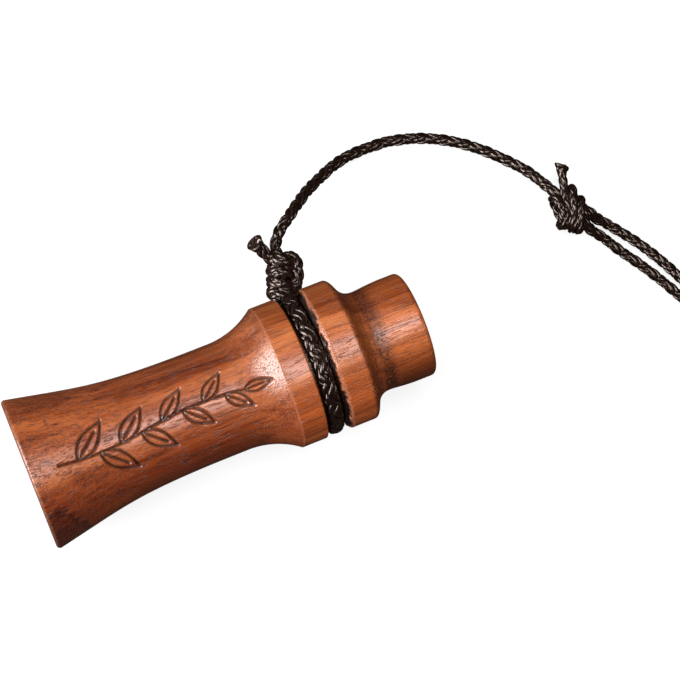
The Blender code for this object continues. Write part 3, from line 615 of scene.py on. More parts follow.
def barrel_shape(radius, station, angle):
    """Cuts the sprig into the outside and burns it dark, paints shade into the groove, and paints pale
    highlights on the arris and the rim.
    """
    across = (angle - math.pi / 2) * radius / MM
    before_rim = np.arange(radius.shape[1]) < np.argmin(station[0])
    outside = before_rim & (station < ARRIS_STATION) & (station > (SPRIG_FIRST - 1) * MM)
    near = outside & (np.abs(across) < SPRIG_REACH)
    points = np.stack([station[near] / MM, across[near]], axis=1)
    gap = distance_to_lines(points, sprig_lines()) * (0.85 + 0.3 * points[:, 0] / SPRIG_LAST)
    cut = np.zeros(radius.shape)
    cut[near] = np.clip((SPRIG_LINE - gap) / SPRIG_LINE, 0, 1) ** 0.6
    burn_and_shade = np.zeros(radius.shape)
    burn_and_shade[near] = 0.95 * np.clip((SPRIG_BURN - gap) / SPRIG_BURN_FADE, 0, 1)
    # Painted shade in the groove, on its floor and walls.
    in_groove = (station > GROOVE_STATION - HAIR) & (radius < COLLAR_RADIUS - GROOVE_EDGE_ROUND + HAIR)
    burn_and_shade[in_groove & (radius > SOCKET_RADIUS + HAIR)] = 1.0
    # Painted highlights: a pale line along the arris and round the rim.
    arris = np.clip(1 - np.abs(station - ARRIS_STATION) / ARRIS_WIDTH, 0, 1) * before_rim
    rim = np.clip(1 - station / RIM_ROUND, 0, 1) * (radius > MOUTH_RADIUS + MOUTH_ROUND)
    return radius - SPRIG_DEPTH * MM * cut, station, burn_and_shade, ARRIS_HIGHLIGHT * arris + RIM_HIGHLIGHT * rim


def mouthpiece_shape(radius, station, angle):
    """Tears the bevel beside the groove into a wavy pale edge, most on top, partly wear and partly painted
    highlight, and paints shade on it below that edge.
    """
    ring = angle[:, 0]
    edge = TEAR_LEAST + TEAR_ON_TOP * np.sin(ring) ** 2
    for size, scale, seed in TEAR_WAVES:
        edge += size * rough(ring, scale, seed)
    edge = np.clip(edge, TEAR_LEAST, TEAR_MOST)[:, None]
    foot = COLLAR_RADIUS - COLLAR_BEVEL_DROP
    down = (JOINT_STATION + COLLAR_BEVEL_LENGTH - station) / COLLAR_BEVEL_LENGTH
    on_bevel = (down >= -0.5) & (down < 1.001) & (radius > GROOVE_FLOOR_RADIUS + HAIR)
    below = np.clip((down - edge) / TEAR_FADE, 0, 1) * on_bevel
    # Pale over the torn bevel, partly wear and partly a painted highlight, palest along its wavy edge.
    pale = np.exp(-(((down - edge + 0.12) / TEAR_FADE) ** 2)) * on_bevel
    torn_and_highlit = np.clip(0.4 * (down > 0.02) * (down < edge) + pale, 0, 1) * on_bevel
    wear_and_highlight = torn_and_highlit * np.clip(0.75 + 0.9 * rough(ring, 2.5, 8.0), 0.3, 1)[:, None]
    # Painted shade below the torn edge and on the groove's wall; the wear share is raised below the edge only
    # to roughen it.
    wear_and_highlight = np.maximum(wear_and_highlight, below)
    burn_and_shade = 1.3 * below
    wall = (np.abs(station - JOINT_STATION) < HAIR) & (radius < foot - HAIR)
    burn_and_shade[wall & (radius > TENON_RADIUS + HAIR)] = 1.0
    lift = TEAR_LIFT * COLLAR_BEVEL_DROP * np.clip(down, 0, 1) * (1 - below) * on_bevel
    above_floor = np.clip((radius - GROOVE_FLOOR_RADIUS) / (foot - GROOVE_FLOOR_RADIUS), 0, 1)
    return radius + lift - TEAR_DEPTH * below * above_floor, station, burn_and_shade, wear_and_highlight


# Cord


def in_mm(route):
    return [Vector(point) * MM for point in route]


def world_x(station):
    return station - LENGTH / 2


def reach_along(path):
    """How far along a path each of its points is."""
    return np.concatenate([[0.0], np.cumsum(np.linalg.norm(np.diff(path, axis=0), axis=1))])


def length_of(points):
    return float(reach_along(np.array([tuple(point) for point in points]))[-1])


def spaced(points, step):
    """Points about one step apart along a line of points."""
    route = np.array([tuple(point) for point in points])
    reach = reach_along(route)
    places = np.linspace(0.0, reach[-1], max(2, round(reach[-1] / step)) + 1)
    return np.stack([np.interp(places, reach, route[:, k]) for k in range(3)], axis=1)


def smooth_curve(route):
    """Close points on a smooth curve through the points of a route."""
    points = [2 * route[0] - route[1], *route, 2 * route[-1] - route[-2]]
    fine = []
    for before, start, end, after in zip(points, points[1:], points[2:], points[3:]):
        pull = (end - start).length / 3
        start_handle = start + (end - before).normalized() * pull
        end_handle = end - (after - start).normalized() * pull
        fine += interpolate_bezier(start, start_handle, end_handle, end, CURVE_POINTS)[:-1]
    return fine + [route[-1]]


def knot_frame(axis):
    along = axis.normalized()
    across = along.cross(Vector((0, 0, 1))).normalized()
    return across, along, across.cross(along)


def wraps(start, frame):
    """Turns of the noose's cord round its knot's core."""
    across, along, up = frame
    points = []
    for share in np.linspace(0, 1, round(NOOSE_KNOT_TURNS * WRAP_POINTS_PER_TURN) + 1):
        angle = math.radians(NOOSE_FIRST_ANGLE) + math.tau * NOOSE_KNOT_TURNS * share
        sideways = across * (NOOSE_WRAP_HALF_WIDTH * math.cos(angle))
        height = up * (NOOSE_WRAP_HALF_HEIGHT * math.sin(angle))
        points.append(start + along * (NOOSE_WRAP_PITCH * NOOSE_KNOT_TURNS * share) + sideways + height)
    return points


def stepped(origin, frame, steps):
    across, along, up = frame
    return [origin + (across * x + along * y + up * z) * MM for x, y, z in steps]


def noose_routes():
    """Out of the knot as the strand that rides on it, once round the groove, then the wraps and the tail."""
    frame = knot_frame(KNOT_AXIS)
    groove_x = world_x(GROOVE_STATION + GROOVE_WIDTH / 2)
    ring = [
        Vector((groove_x, NOOSE_RADIUS * math.cos(angle), AXIS_HEIGHT + NOOSE_RADIUS * math.sin(angle)))
        for angle in np.radians(np.linspace(NOOSE_LEG_ANGLE, 360 - NOOSE_LEG_ANGLE, POINTS_PER_TURN))
    ]
    start = stepped(NOOSE_KNOT_FOOT, frame, [NOOSE_WRAP_PLACE])[0]
    rider = stepped(NOOSE_KNOT_FOOT, frame, NOOSE_RIDER)
    tail = stepped(NOOSE_KNOT_FOOT, frame, NOOSE_TAIL)
    return rider + ring, wraps(start, frame) + tail


def loop_core(side, place):
    across, along, _ = knot_frame(LOOP_KNOT_AXIS)
    return LOOP_KNOT_CENTRE - across * (side * LOOP_CORE_OFFSET) + along * place


def loop_knot_route():
    """Turns that lean over each other. Each passes in front from its low end to its high end, then behind."""
    lows = np.array([low for low, _ in LOOP_WRAPS])
    highs = np.array([high for _, high in LOOP_WRAPS])
    steps = []
    for turn in np.arange(LOOP_FIRST_TURN, LOOP_LAST_TURN, 1 / WRAP_POINTS_PER_TURN):
        spot = max(turn, 0.0)
        low = [np.interp(spot, range(len(lows)), lows[:, k]) for k in range(2)]
        high = [np.interp(spot - 0.5, range(len(highs)), highs[:, k]) for k in range(2)]
        share = (1 - math.cos(math.tau * turn)) / 2
        flat = [a + (b - a) * share for a, b in zip(low, high)]
        swing = math.sin(math.tau * turn)
        steps.append((*flat, LOOP_WRAP_HALF_HEIGHT * math.copysign(abs(swing) ** 0.7, swing)))
    return stepped(LOOP_WRAP_CENTRE, knot_frame(KNOT_AXIS), (*steps, *LOOP_TAIL))


def line_route():
    knot = stepped(NOOSE_KNOT_FOOT, knot_frame(KNOT_AXIS), LINE_IN_KNOT)
    return knot + in_mm(LINE_ROUTE) + [loop_core(1, -LOOP_KNOT_HALF), loop_core(1, -FIT_GAP / 2)]


def coil_route():
    """A doubled winding: the strand runs in, turns back through the middle, and runs out over itself."""
    left = Vector((-COIL_HEADING.y, COIL_HEADING.x)).normalized()
    centre = COIL_START + left * COIL_OUTER_RADIUS
    first = math.atan2(-left.y, -left.x)
    inner = first + math.tau * COIL_TURNS
    upper_floor = COIL_FLOOR + COIL_LAYER_STEP

    def place(angle, radius, height, middle=centre):
        return Vector((middle.x + radius * math.cos(angle), middle.y + radius * math.sin(angle), height))

    points = []
    for step in range(round(COIL_TURNS * POINTS_PER_TURN)):
        turn = step / POINTS_PER_TURN
        points.append(place(first + math.tau * turn, COIL_OUTER_RADIUS - COIL_PITCH * turn, COIL_FLOOR))
    half_radius = COIL_INNER_RADIUS / 2
    to_side = Vector((math.cos(inner), math.sin(inner))) * half_radius
    half_turn = POINTS_PER_TURN // 2
    for step in range(2 * half_turn):
        share = step / (2 * half_turn)
        climb = min(1.0, max(0.0, (share - CLIMB_START) / CLIMB_LENGTH))
        height = COIL_FLOOR + COIL_LAYER_STEP * climb * climb * (3 - 2 * climb)
        if step < half_turn:
            points.append(place(inner + math.tau * share, half_radius, height, centre + to_side))
        else:
            points.append(place(inner - math.tau * (share - 0.5), half_radius, height, centre - to_side))
    for step in range(round((COIL_TURNS + 0.5) * POINTS_PER_TURN) + 1):
        turn = step / POINTS_PER_TURN
        angle = inner + math.pi - math.tau * turn
        points.append(place(angle, COIL_INNER_RADIUS + COIL_PITCH * turn, upper_floor))
    heading = Vector((*COIL_HEADING, 0)).normalized()
    straight = heading * CORD_DIAMETER
    return [points[0] - straight, *points, points[-1] - straight], centre, first


def unit(vectors):
    return vectors / np.linalg.norm(vectors, axis=-1, keepdims=True)


def frames(path, wide):
    """Two unit vectors across a path. The first lies towards wide, or turns as little as it can."""
    along = unit(np.gradient(path, axis=0))
    if wide is None:
        side = np.cross(along[0], (0.0, 0.0, 1.0))
        sides = []
        for direction in along:
            side = unit(side - direction * (side @ direction))
            sides.append(side)
        first = np.array(sides)
    else:
        first = unit(wide - along * np.sum(wide * along, axis=1)[:, None])
    return first, np.cross(along, first)


class Tubes:
    """Gathers closed tubes into one mesh. Its UVs are centimetres along a tube and the share round it."""

    def __init__(self):
        self.points = []
        self.faces = []
        self.uvs = []

    def add(self, rings, reach):
        count, sides = rings.shape[:2]
        base = len(self.points)
        self.points += rings.reshape(-1, 3).tolist()
        for row in range(count - 1):
            low = base + row * sides
            near, far = reach[row] * 100, reach[row + 1] * 100
            for side in range(sides):
                after = (side + 1) % sides
                self.faces.append((low + side, low + after, low + sides + after, low + sides + side))
                left, right = side / sides, (side + 1) / sides
                self.uvs += [(near, left), (near, right), (far, right), (far, left)]
        for row, order in ((0, -1), (count - 1, 1)):
            low = base + row * sides
            self.faces.append(tuple(range(low, low + sides))[::order])
            self.uvs += [(reach[row] * 100, 0.5)] * sides

    def build(self, name, material):
        mesh = bpy.data.meshes.new(name)
        mesh.from_pydata(self.points, [], self.faces)
        layer = mesh.uv_layers.new(name="strand")
        layer.data.foreach_set("uv", np.array(self.uvs, np.float32).ravel())
        return add_smooth(name, mesh, material, CORD_SHARP_ANGLE)


def braided(name, path, material, width, height=None, wide=None, sides=10, seal_slant=None):
    """A braid along a path: strands wind both ways round a core, over two and under two of the others."""
    reach = reach_along(path)
    width = np.broadcast_to(width, reach.shape)[:, None]
    height = width if height is None else np.broadcast_to(height, reach.shape)[:, None]
    turn = math.tau * reach / BRAID_PITCH
    first, second = frames(path, wide)
    ring = np.linspace(0, math.tau, sides, endpoint=False)
    round_first = np.cos(ring)[None, :, None]
    round_second = np.sin(ring)[None, :, None]
    tubes = Tubes()
    core_wide = (first * width * CORE_RADIUS)[:, None, :]
    core_high = (second * height * CORE_RADIUS)[:, None, :]
    tubes.add(path[:, None, :] + core_wide * round_first + core_high * round_second, reach)
    wave = np.cos(STRANDS_EACH_WAY / 2 * turn + math.pi / 4)
    over = np.tanh(BRAID_FLATNESS * wave) / math.tanh(BRAID_FLATNESS)
    for way in (1, -1):
        radius = (BRAID_RADIUS + way * BRAID_WAVE * over)[:, None]
        for strand in range(STRANDS_EACH_WAY):
            angle = (way * turn + math.tau * strand / STRANDS_EACH_WAY)[:, None]
            middle = path + radius * (first * width * np.cos(angle) + second * height * np.sin(angle))
            along = unit(np.gradient(middle, axis=0))
            out = first * height * np.cos(angle) + second * width * np.sin(angle)
            out = unit(out - along * np.sum(out * along, axis=1)[:, None])
            across = np.cross(along, out)
            strand_wide = (across * STRAND_HALF_WIDTH * (width + height) / 2)[:, None, :]
            strand_high = (out * STRAND_HALF_HEIGHT * height)[:, None, :]
            tubes.add(middle[:, None, :] + strand_wide * round_first + strand_high * round_second, reach)
    if seal_slant is not None:
        add_seal(tubes, path, first[-1] * width[-1], second[-1] * height[-1], seal_slant)
    return tubes.build(name, material)


def add_seal(tubes, path, wide, high, slant):
    """The melted end of a cord: a cup with a raised rim, cut at a slant across its width."""
    along = unit(path[-1] - path[-2])
    angles = np.linspace(0, math.tau, SEAL_SIDES, endpoint=False)
    rings = []
    for out, place in SEAL_PROFILE:
        wave = 1 + SEAL_WAVE * np.cos(3 * angles + 0.7)
        ring = wide[None, :] * np.cos(angles)[:, None] + high[None, :] * np.sin(angles)[:, None]
        reach = place * MM - slant * np.linalg.norm(wide) * out / 2 * np.cos(angles)
        rings.append(path[-1] + along * reach[:, None] + ring * (out / 2 * wave)[:, None])
    tubes.add(np.array(rings), np.linspace(0, 0.01, len(rings)))


# Materials


class Nodes:
    """Adds nodes to a material or a world. An input is given a value, or another node's output to link."""

    def __init__(self, owner, shader="Principled BSDF"):
        owner.use_nodes = True
        self.owner = owner
        self.tree = owner.node_tree
        self.shader = self.tree.nodes[shader]

    def give(self, node, inputs):
        for key, value in inputs.items():
            if isinstance(value, bpy.types.NodeSocket):
                self.tree.links.new(value, node.inputs[key])
            else:
                node.inputs[key].default_value = value

    def set(self, inputs):
        self.give(self.shader, inputs)

    def add(self, kind, inputs=None, output=0, **settings):
        node = self.tree.nodes.new("ShaderNode" + kind)
        for key, value in settings.items():
            setattr(node, key, value)
        self.give(node, inputs or {})
        return node.outputs[output]

    def math(self, operation, first, second=0.0, third=0.0):
        return self.add("Math", {0: first, 1: second, 2: third}, operation=operation)

    def scaled(self, value, factor, more=0.0):
        return self.math("MULTIPLY_ADD", value, factor, more)

    def vector(self, operation, first, second):
        return self.add("VectorMath", {0: first, 1: second}, operation=operation)

    def stretch(self, vector, scale):
        return self.vector("MULTIPLY", vector, scale)

    def split(self, vector):
        return tuple(self.add("SeparateXYZ", {0: vector}).node.outputs)

    def millimetres(self):
        return self.stretch(self.add("TexCoord", output=3), (1000.0, 1000.0, 1000.0))

    def noise(self, vector, cells, detail=2.0, roughness=0.5):
        inputs = {"Scale": 1.0, "Detail": detail, "Roughness": roughness}
        return self.add("TexNoise", {"Vector": self.stretch(vector, cells), **inputs})

    def ramp(self, value, *stops):
        colours = self.add("ValToRGB", {0: value})
        elements = colours.node.color_ramp.elements
        while len(elements) < len(stops):
            elements.new(0.5)
        for element, (place, colour) in zip(elements, stops):
            element.position = place
            element.color = (*colour, 1.0) if isinstance(colour, tuple) else (colour, colour, colour, 1.0)
        return colours

    def rise(self, value, first, last):
        return self.ramp(value, (first, 0.0), (last, 1.0))

    def mix(self, share, first, second, blend_type="MIX"):
        inputs = {0: share, 6: first, 7: second}
        return self.add("Mix", inputs, output=2, data_type="RGBA", blend_type=blend_type)

    def bump(self, height, distance, strength=1.0):
        inputs = {"Height": height, "Distance": distance, "Strength": strength}
        self.set({"Normal": self.add("Bump", inputs)})


def growth_rings(wood, swayed, lines, paler):
    """Share of a line at every growth ring, which fades to one side of it."""
    place = wood.add("VectorMath", {0: swayed, 1: RING_ACROSS}, output=1, operation="DOT_PRODUCT")
    place = wood.scaled(lines, 0.25, wood.scaled(place, 1 / RING_WIDTH, RING_START))
    ring = wood.ramp(wood.math("FRACT", place), (0.0, 1.0), (0.08, 0.55), (0.2, 0.35), (0.75, 0.0))
    return wood.scaled(ring, wood.scaled(paler, 0.55, 0.35))


def rim_flame(wood, swayed, lines):
    """Share of the dark flame, which is darkest along its edge."""
    away = wood.vector("DIVIDE", wood.vector("SUBTRACT", swayed, FLAME_PLACE), FLAME_SIZE)
    away = wood.add("VectorMath", {0: away}, output=1, operation="LENGTH")
    away = wood.scaled(wood.scaled(lines, 0.6, away), 0.5)
    return wood.ramp(away, (0.42, 0.6), (0.57, 0.45), (0.61, 1.0), (0.64, 0.0))


def open_pores(wood, grain, paler):
    """Share of the fine pores and the longer vessels, which are fewer in the paler wood."""
    fine = wood.noise(grain, (0.4, 5.0, 5.0), detail=1.0)
    vessels = wood.noise(grain, (0.2, 2.6, 2.6), detail=1.0)
    fine = wood.rise(fine, 0.60, 0.68)
    vessels = wood.rise(vessels, 0.64, 0.69)
    return wood.scaled(wood.math("MAXIMUM", fine, vessels), wood.scaled(paler, -0.45, 1.0))


def walnut():
    """Oiled walnut with its grain along X, cut by the turned shape: bands, rings, streaks and pores."""
    wood = Nodes(bpy.data.materials.new("walnut_oiled"))
    place = wood.millimetres()
    along, across, _ = wood.split(place)
    sway = wood.add("TexNoise", {"Vector": wood.stretch(place, (0.012, 0.04, 0.04)), "Detail": 1.0}, output=1)
    sway = wood.stretch(wood.vector("SUBTRACT", sway, (0.5, 0.5, 0.5)), (0.0, 1.8, 1.8))
    swayed = wood.vector("ADD", place, sway)
    turn = tuple(math.radians(angle) for angle in GRAIN_TURN)
    grain = wood.add("Mapping", {"Vector": swayed, "Location": GRAIN_PLACE, "Rotation": turn})
    bands = wood.noise(grain, (0.008, 0.19, 0.19))
    lines = wood.noise(grain, (0.014, 0.95, 0.95), detail=3.0, roughness=0.6)
    fibres = wood.noise(grain, (0.07, 4.6, 4.6), detail=3.0, roughness=0.6)
    streaks = wood.noise(grain, (0.016, 1.5, 1.5), roughness=0.6)

    # Bands and lines, paler and more even towards the mouthpiece
    paler = wood.rise(wood.scaled(along, 0.02, 0.5), 0.45, 0.75)
    tone = wood.scaled(bands, 0.50, wood.scaled(lines, 0.30))
    tone = wood.scaled(fibres, 0.18, tone)
    tone = wood.scaled(wood.scaled(paler, 0.45), wood.math("SUBTRACT", 0.51, tone), tone)
    colour = wood.ramp(tone, *WOOD_TONES)
    colour = wood.mix(paler, colour, PALER_WOOD, "MULTIPLY")
    late_wood = wood.scaled(lines, 6.0, wood.scaled(along, 0.3, across))
    late_wood = wood.rise(wood.scaled(late_wood, 0.05, -0.32), 0.48, 0.54)
    colour = wood.mix(wood.scaled(late_wood, 0.9), colour, LATE_WOOD, "MULTIPLY")
    colour = wood.mix(growth_rings(wood, swayed, lines, paler), colour, RING_LINE, "MULTIPLY")

    # A paler lip, a low side made redder as painted shade, and a darker low side away from the collars
    from_shoulder = wood.scaled(along, 1 / SHOULDER_TO_END, -SHOULDER_PLACE / SHOULDER_TO_END)
    lip = wood.rise(from_shoulder, 0.72, 0.78)
    colour = wood.mix(lip, colour, LIP_WOOD, "MULTIPLY")
    low_side = wood.rise(wood.scaled(across, -0.05, 0.2), 0.35, 0.65)
    shade_tint_share = wood.scaled(low_side, wood.scaled(paler, -0.5, 1.0))
    colour = wood.mix(shade_tint_share, colour, LOW_SIDE_SHADE_TINT, "MULTIPLY")
    from_collars = wood.math("ABSOLUTE", wood.scaled(along, 0.03, -0.03 * COLLARS_MIDDLE))
    low_side_dark = wood.scaled(low_side, wood.rise(from_collars, 0.22, 0.42))
    low_side_dark = wood.scaled(low_side_dark, wood.scaled(lip, 0.25, 0.55))
    colour = wood.mix(low_side_dark, colour, LOW_SIDE_DARK)

    # Dark streaks, the flame at the rim, pores, and end grain with its oil; the waist's oil is partly painted
    # shade
    streaks = wood.rise(streaks, 0.61, 0.67)
    streaks = wood.scaled(streaks, wood.scaled(paler, -0.45, 0.7))
    colour = wood.mix(streaks, colour, DARK_STREAK)
    colour = wood.mix(rim_flame(wood, swayed, lines), colour, FLAME)
    pores = open_pores(wood, grain, paler)
    colour = wood.mix(wood.scaled(pores, 0.62), colour, PORE)
    facing, _, _ = wood.split(wood.add("NewGeometry", output=1))
    end_grain = wood.rise(wood.math("ABSOLUTE", facing), 0.3, 0.95)
    colour = wood.mix(wood.scaled(end_grain, 0.45), colour, END_GRAIN)
    speckle = wood.ramp(wood.noise(place, (2.4, 2.4, 2.4), detail=1.0), (0.42, 0.3), (0.60, 1.0))
    # The waist is darkened by oil-soaked end grain and by painted shade, more on the low side.
    soaked_and_shaded = wood.scaled(wood.ramp(from_shoulder, *WAIST_OIL_AND_SHADE), speckle)
    soaked_and_shaded = wood.scaled(soaked_and_shaded, wood.scaled(low_side, 0.5, 0.75))
    colour = wood.mix(soaked_and_shaded, colour, SOAKED_AND_SHADED_WOOD)

    # Wear and painted highlights, and burns and painted shade, from the shape
    wear_and_highlight = wood.add("Attribute", output=2, attribute_name="wear_and_highlight")
    colour = wood.mix(wood.scaled(wear_and_highlight, 0.7), colour, WEAR_AND_HIGHLIGHT_COLOUR)
    burn_and_shade = wood.add("Attribute", output=2, attribute_name="burn_and_shade")
    burn_and_shade = wood.scaled(burn_and_shade, wood.scaled(fibres, 0.6, 0.65))
    colour = wood.mix(wood.scaled(burn_and_shade, 0.95), colour, BURN_AND_SHADE_COLOUR)

    sheen = wood.scaled(fibres, 0.16, 0.19)
    sheen = wood.scaled(pores, 0.2, sheen)
    sheen = wood.scaled(soaked_and_shaded, 0.2, sheen)
    sheen = wood.scaled(wood.scaled(wear_and_highlight, burn_and_shade), 0.1, sheen)
    wood.set({"Base Color": colour, "Roughness": sheen, "Specular IOR Level": 0.9})
    wood.bump(wood.scaled(pores, -1.0, wood.scaled(fibres, 0.5)), 0.08 * MM, 0.8)
    return wood.owner


def cord_fibre():
    """Dark waxed nylon: fine filaments twist along every strand and catch the light."""
    cord = Nodes(bpy.data.materials.new("braided_nylon"))
    along, around, _ = cord.split(cord.add("UVMap", uv_map="strand"))
    turn = cord.scaled(cord.scaled(along, 1.6, around), math.tau)
    place = {0: along, 1: cord.math("COSINE", turn), 2: cord.math("SINE", turn)}
    filaments = cord.noise(cord.add("CombineXYZ", place), (5.0, 4.0, 4.0), roughness=0.6)
    patches = cord.noise(cord.millimetres(), (0.35, 0.35, 0.35))
    colour = cord.ramp(filaments, *CORD_TONES)
    colour = cord.mix(cord.scaled(patches, 0.5), colour, CORD_PATCH)
    cord.set({"Base Color": colour, "Roughness": cord.scaled(filaments, 0.3, 0.07)})
    cord.set({"Specular IOR Level": 1.0, "Specular Tint": CORD_GLOSS})
    cord.bump(filaments, 0.04 * MM, 0.8)
    return cord.owner


def plain(name):
    """A finish that mottles between two colours."""
    light, dark, roughness, grain, relief, metallic = FINISHES[name]
    made = Nodes(bpy.data.materials.new(name))
    mottle = made.noise(made.millimetres(), grain, detail=3.0)
    colour = made.mix(mottle, (*dark, 1.0), (*light, 1.0))
    made.set({"Base Color": colour, "Roughness": made.scaled(mottle, 0.2, roughness), "Metallic": metallic})
    made.bump(mottle, relief * MM)
    return made.owner


def floor_material():
    """White to the camera, darker to the light that it would throw back. Shadows stay on it."""
    floor = Nodes(bpy.data.materials.new("white_surface"))
    seen = floor.add("LightPath")
    floor.set({"Base Color": floor.mix(seen, FLOOR_UNSEEN, FLOOR_SEEN), "Roughness": 0.9})
    floor.set({"Emission Color": WHITE, "Emission Strength": floor.scaled(seen, FLOOR_GLOW)})
    return floor.owner


# Scene


def clear_scene():
    for obj in list(bpy.data.objects):
        bpy.data.objects.remove(obj)


def add_camera():
    data = bpy.data.cameras.new("camera")
    data.lens = CAMERA_LENS
    data.sensor_width = 36.0
    data.clip_start = 0.01
    camera = add_object("camera", data)
    right = CAMERA_RIGHT.normalized()
    back = right.cross(CAMERA_UP).normalized()
    columns = Matrix((right, back.cross(right), back)).transposed()
    camera.matrix_world = Matrix.Translation(CAMERA_PLACE) @ columns.to_4x4()
    bpy.context.scene.camera = camera


def add_softbox(name, place, target, size, power, glossy, diffuse):
    data = bpy.data.lights.new(name, "AREA")
    data.shape = "RECTANGLE"
    data.size, data.size_y = size
    data.energy = power
    lamp = add_object(name, data)
    lamp.location = place
    lamp.rotation_mode = "QUATERNION"
    lamp.rotation_quaternion = (Vector(target) - Vector(place)).to_track_quat("-Z", "Y")
    lamp.visible_glossy = glossy
    lamp.visible_diffuse = diffuse


def add_stage():
    mesh = bpy.data.meshes.new("floor")
    mesh.from_pydata([(-2, -2, 0), (2, -2, 0), (2, 2, 0), (-2, 2, 0)], [], [(0, 1, 2, 3)])
    mesh.materials.append(floor_material())
    floor = add_object("floor", mesh)
    world = Nodes(bpy.data.worlds.new("studio"), "Background")
    world.set({"Color": world.mix(world.add("LightPath"), WORLD_LIGHT, WHITE)})
    bpy.context.scene.world = world.owner
    for name, lamp in LAMPS.items():
        add_softbox(name, *lamp)
    bpy.context.scene.view_settings.view_transform = "Standard"


def dress_wood():
    wood = walnut()
    first = math.pi / 2 - SPRIG_HALF_ANGLE
    last = math.pi / 2 + SPRIG_HALF_ANGLE
    fine = np.linspace(first, last, SPRIG_STEPS)
    coarse = np.linspace(last, first + math.tau, BARREL_STEPS + 2)[1:-1]
    barrel = turned("barrel_wood", barrel_profile(), np.concatenate([fine, coarse]), barrel_shape, wood)
    around = np.linspace(0, math.tau, MOUTHPIECE_STEPS, endpoint=False)
    mouthpiece = turned("mouthpiece_wood", mouthpiece_profile(), around, mouthpiece_shape, wood)
    for piece, node, body in ((barrel, "barrel", "call"), (mouthpiece, "mouthpiece", "mouthpiece")):
        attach(piece, body)
        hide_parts(node)


def swollen(path, width, tip, swell):
    """Widths along a cord whose last stretch, its tip, swells to its sealed end."""
    left = length_of(path) - reach_along(path)
    return width * (1 + (swell - 1) * np.clip(1 - left / tip, 0, 1) ** 1.5)


def make_noose(fibre):
    """Flat and wide in the groove, and rounder in the knot, whose wraps lie along its axis."""
    loose, tight = noose_routes()
    tight.append(tight[-1] + (tight[-1] - tight[-2]).normalized() * NOOSE_SEAL_REACH)
    path = spaced(smooth_curve(loose + tight), LINE_STEP)
    reach = reach_along(path)
    knotted = np.clip((reach - length_of(smooth_curve(loose))) / NOOSE_EASE, 0, 1)[:, None]
    rider = np.clip((NOOSE_RIDER_LENGTH - reach) / NOOSE_EASE, 0, 1)
    wide = np.array((1.0, 0.0, 0.0)) * (1 - knotted) + np.array(knot_frame(KNOT_AXIS)[1]) * knotted
    in_groove = (1 - knotted[:, 0]) * (1 - rider)
    width = swollen(path, NOOSE_WIDTH, NOOSE_TIP, NOOSE_TIP_WIDER) + NOOSE_SPREAD * in_groove
    height = swollen(path, NOOSE_HEIGHT, NOOSE_TIP, NOOSE_TIP_HIGHER)
    return braided("noose_braid", path, fibre, width, height, wide, seal_slant=0.0)


def make_loop_knot(fibre):
    path = spaced(smooth_curve(loop_knot_route()), LINE_STEP)
    wide = np.broadcast_to(np.array(knot_frame(KNOT_AXIS)[0]), path.shape)
    width = swollen(path, LOOP_KNOT_WIDTH, LOOP_KNOT_TIP, LOOP_KNOT_TIP_WIDER)
    height = LOOP_KNOT_FLATNESS * width
    return braided("loop_knot_braid", path, fibre, width, height, wide, seal_slant=LOOP_KNOT_SLANT)


def tie_loop(coil, centre, outward):
    """Middle line of the tie round the coil, as (distance from the coil's middle, height)."""
    distances = []
    for point in spaced(coil, CORD_DIAMETER / 2):
        offset = Vector(point[:2]) - centre
        reach = offset.dot(outward)
        if reach > COIL_INNER_RADIUS - CORD_DIAMETER and abs(offset.cross(outward)) < TIE_WIDTH:
            distances.append(reach)
    clear = CORD_DIAMETER / 2 + FIT_GAP
    low = TIE_THICKNESS / 2 + TAPE_RELIEF
    high = COIL_FLOOR + COIL_LAYER_STEP + clear + low
    near = min(distances) - clear - low
    far = max(distances) + clear + low
    bend = CORD_DIAMETER / 2 + low
    right = far - bend
    left = near + bend
    foot = low + bend
    top = high - bend
    loop = []
    for number, corner in enumerate(((right, foot), (right, top), (left, top), (left, foot))):
        loop += arc(corner, bend, 90 * number - 90, 90 * number, 8)
    return loop


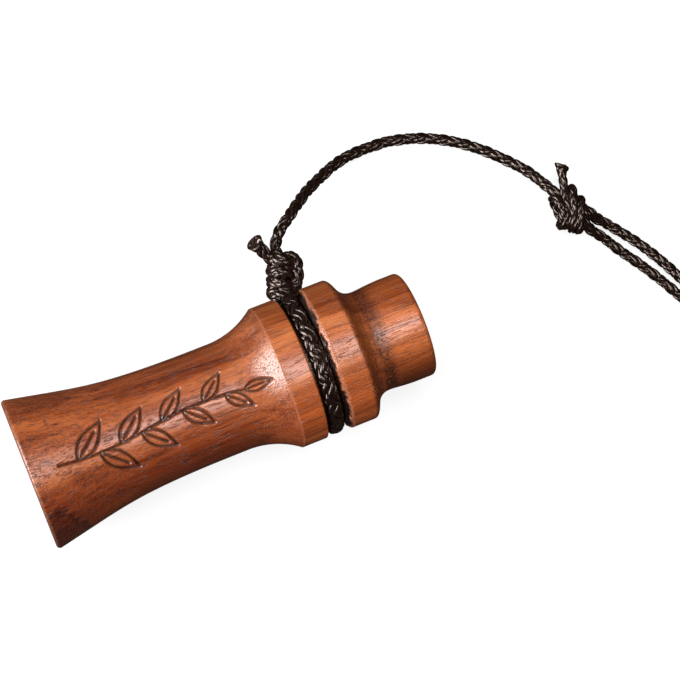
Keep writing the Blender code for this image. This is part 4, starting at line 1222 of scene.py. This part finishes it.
def make_tie(coil, centre, outward):
    """A band of woven tape: its threads stand out from it in turn along and across it."""
    loop = tie_loop(coil, centre, outward)
    flat = []
    for reach, height in loop + loop[:1]:
        flat.append((centre.x + outward.x * reach, centre.y + outward.y * reach, height))
    path = spaced(flat, TAPE_THREAD / 4)[:-1]
    along = unit(np.roll(path, -1, axis=0) - np.roll(path, 1, axis=0))
    across = np.array((-outward.y, outward.x, 0.0))
    out = np.cross(along, across)
    half = TIE_WIDTH / 2
    places = np.linspace(-half, half, round(TIE_WIDTH / TAPE_THREAD * 4) + 1)
    phase = np.arange(len(path)) * (round(len(path) / 8) * math.tau * 2 / len(path))
    weave = TAPE_RELIEF * np.sin(phase)[:, None] * np.sin(math.tau * places / TAPE_THREAD)[None, :]
    sides = []
    for side, places_there, weave_there in ((1, places, weave), (-1, places[::-1], -weave[:, ::-1])):
        rise = side * (TIE_THICKNESS / 2) + weave_there
        sides.append(path[:, None] + across * places_there[None, :, None] + out[:, None] * rise[:, :, None])
    return closed_sweep("tie_tape", np.concatenate(sides, axis=1), plain("woven_tape"), TAPE_SHARP_ANGLE)


def dress_cord():
    fibre = cord_fibre()
    noose = make_noose(fibre)
    loop_knot = make_loop_knot(fibre)
    line_path = spaced(smooth_curve(line_route()), LINE_STEP)
    line_braid = braided("line_braid", line_path, fibre, LINE_WIDTH, LINE_HEIGHT)

    coil, centre, first = coil_route()
    heading = (coil[1] - coil[0]).normalized()
    out_route = [loop_core(1, FIT_GAP / 2), loop_core(1, LOOP_KNOT_HALF), *in_mm(LEAD_OUT_ROUTE)]
    back_route = [coil[-1] - heading * CORD_DIAMETER, *in_mm(LEAD_BACK_ROUTE)]
    back_route += [loop_core(-1, LOOP_KNOT_HALF), loop_core(-1, 0)]
    loop_path = spaced(smooth_curve(out_route + coil + back_route), COIL_STEP)
    reach = reach_along(loop_path)
    from_knot = np.minimum(reach, reach[-1] - reach) - LOOP_KNOT_HALF
    loop_width = NECK_LOOP_WIDTH + NECK_LOOP_SPREAD * np.clip(1 - from_knot / LOOP_KNOT_HALF, 0, 1)
    neck_loop = braided("neck_loop_braid", loop_path, fibre, loop_width, CORD_DIAMETER, sides=8)

    for piece, nodes in (
        (noose, ["noose"]),
        (loop_knot, ["loop_knot"]),
        (line_braid, ["cord_line"]),
        (neck_loop, ["neck_loop_lead_out", "neck_loop_lead_back", "neck_loop_coil"]),
    ):
        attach(piece, "call")
        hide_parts(*nodes)
    tie = make_tie(coil, centre, Vector((-math.cos(first), -math.sin(first))))
    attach(tie, "call")
    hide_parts("coil_tie")


def dress_inner(nodes):
    materials = {finish: plain(finish) for finish in sorted(set(INNER_FINISHES.values()))}
    for name, finish in INNER_FINISHES.items():
        mesh = nodes[name].data
        mesh.materials.clear()
        mesh.materials.append(materials[finish])


def main():
    clear_scene()
    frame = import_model()
    add_camera()
    dress_cord()
    dress_wood()
    dress_inner(frame["nodes"])
    add_stage()


main()
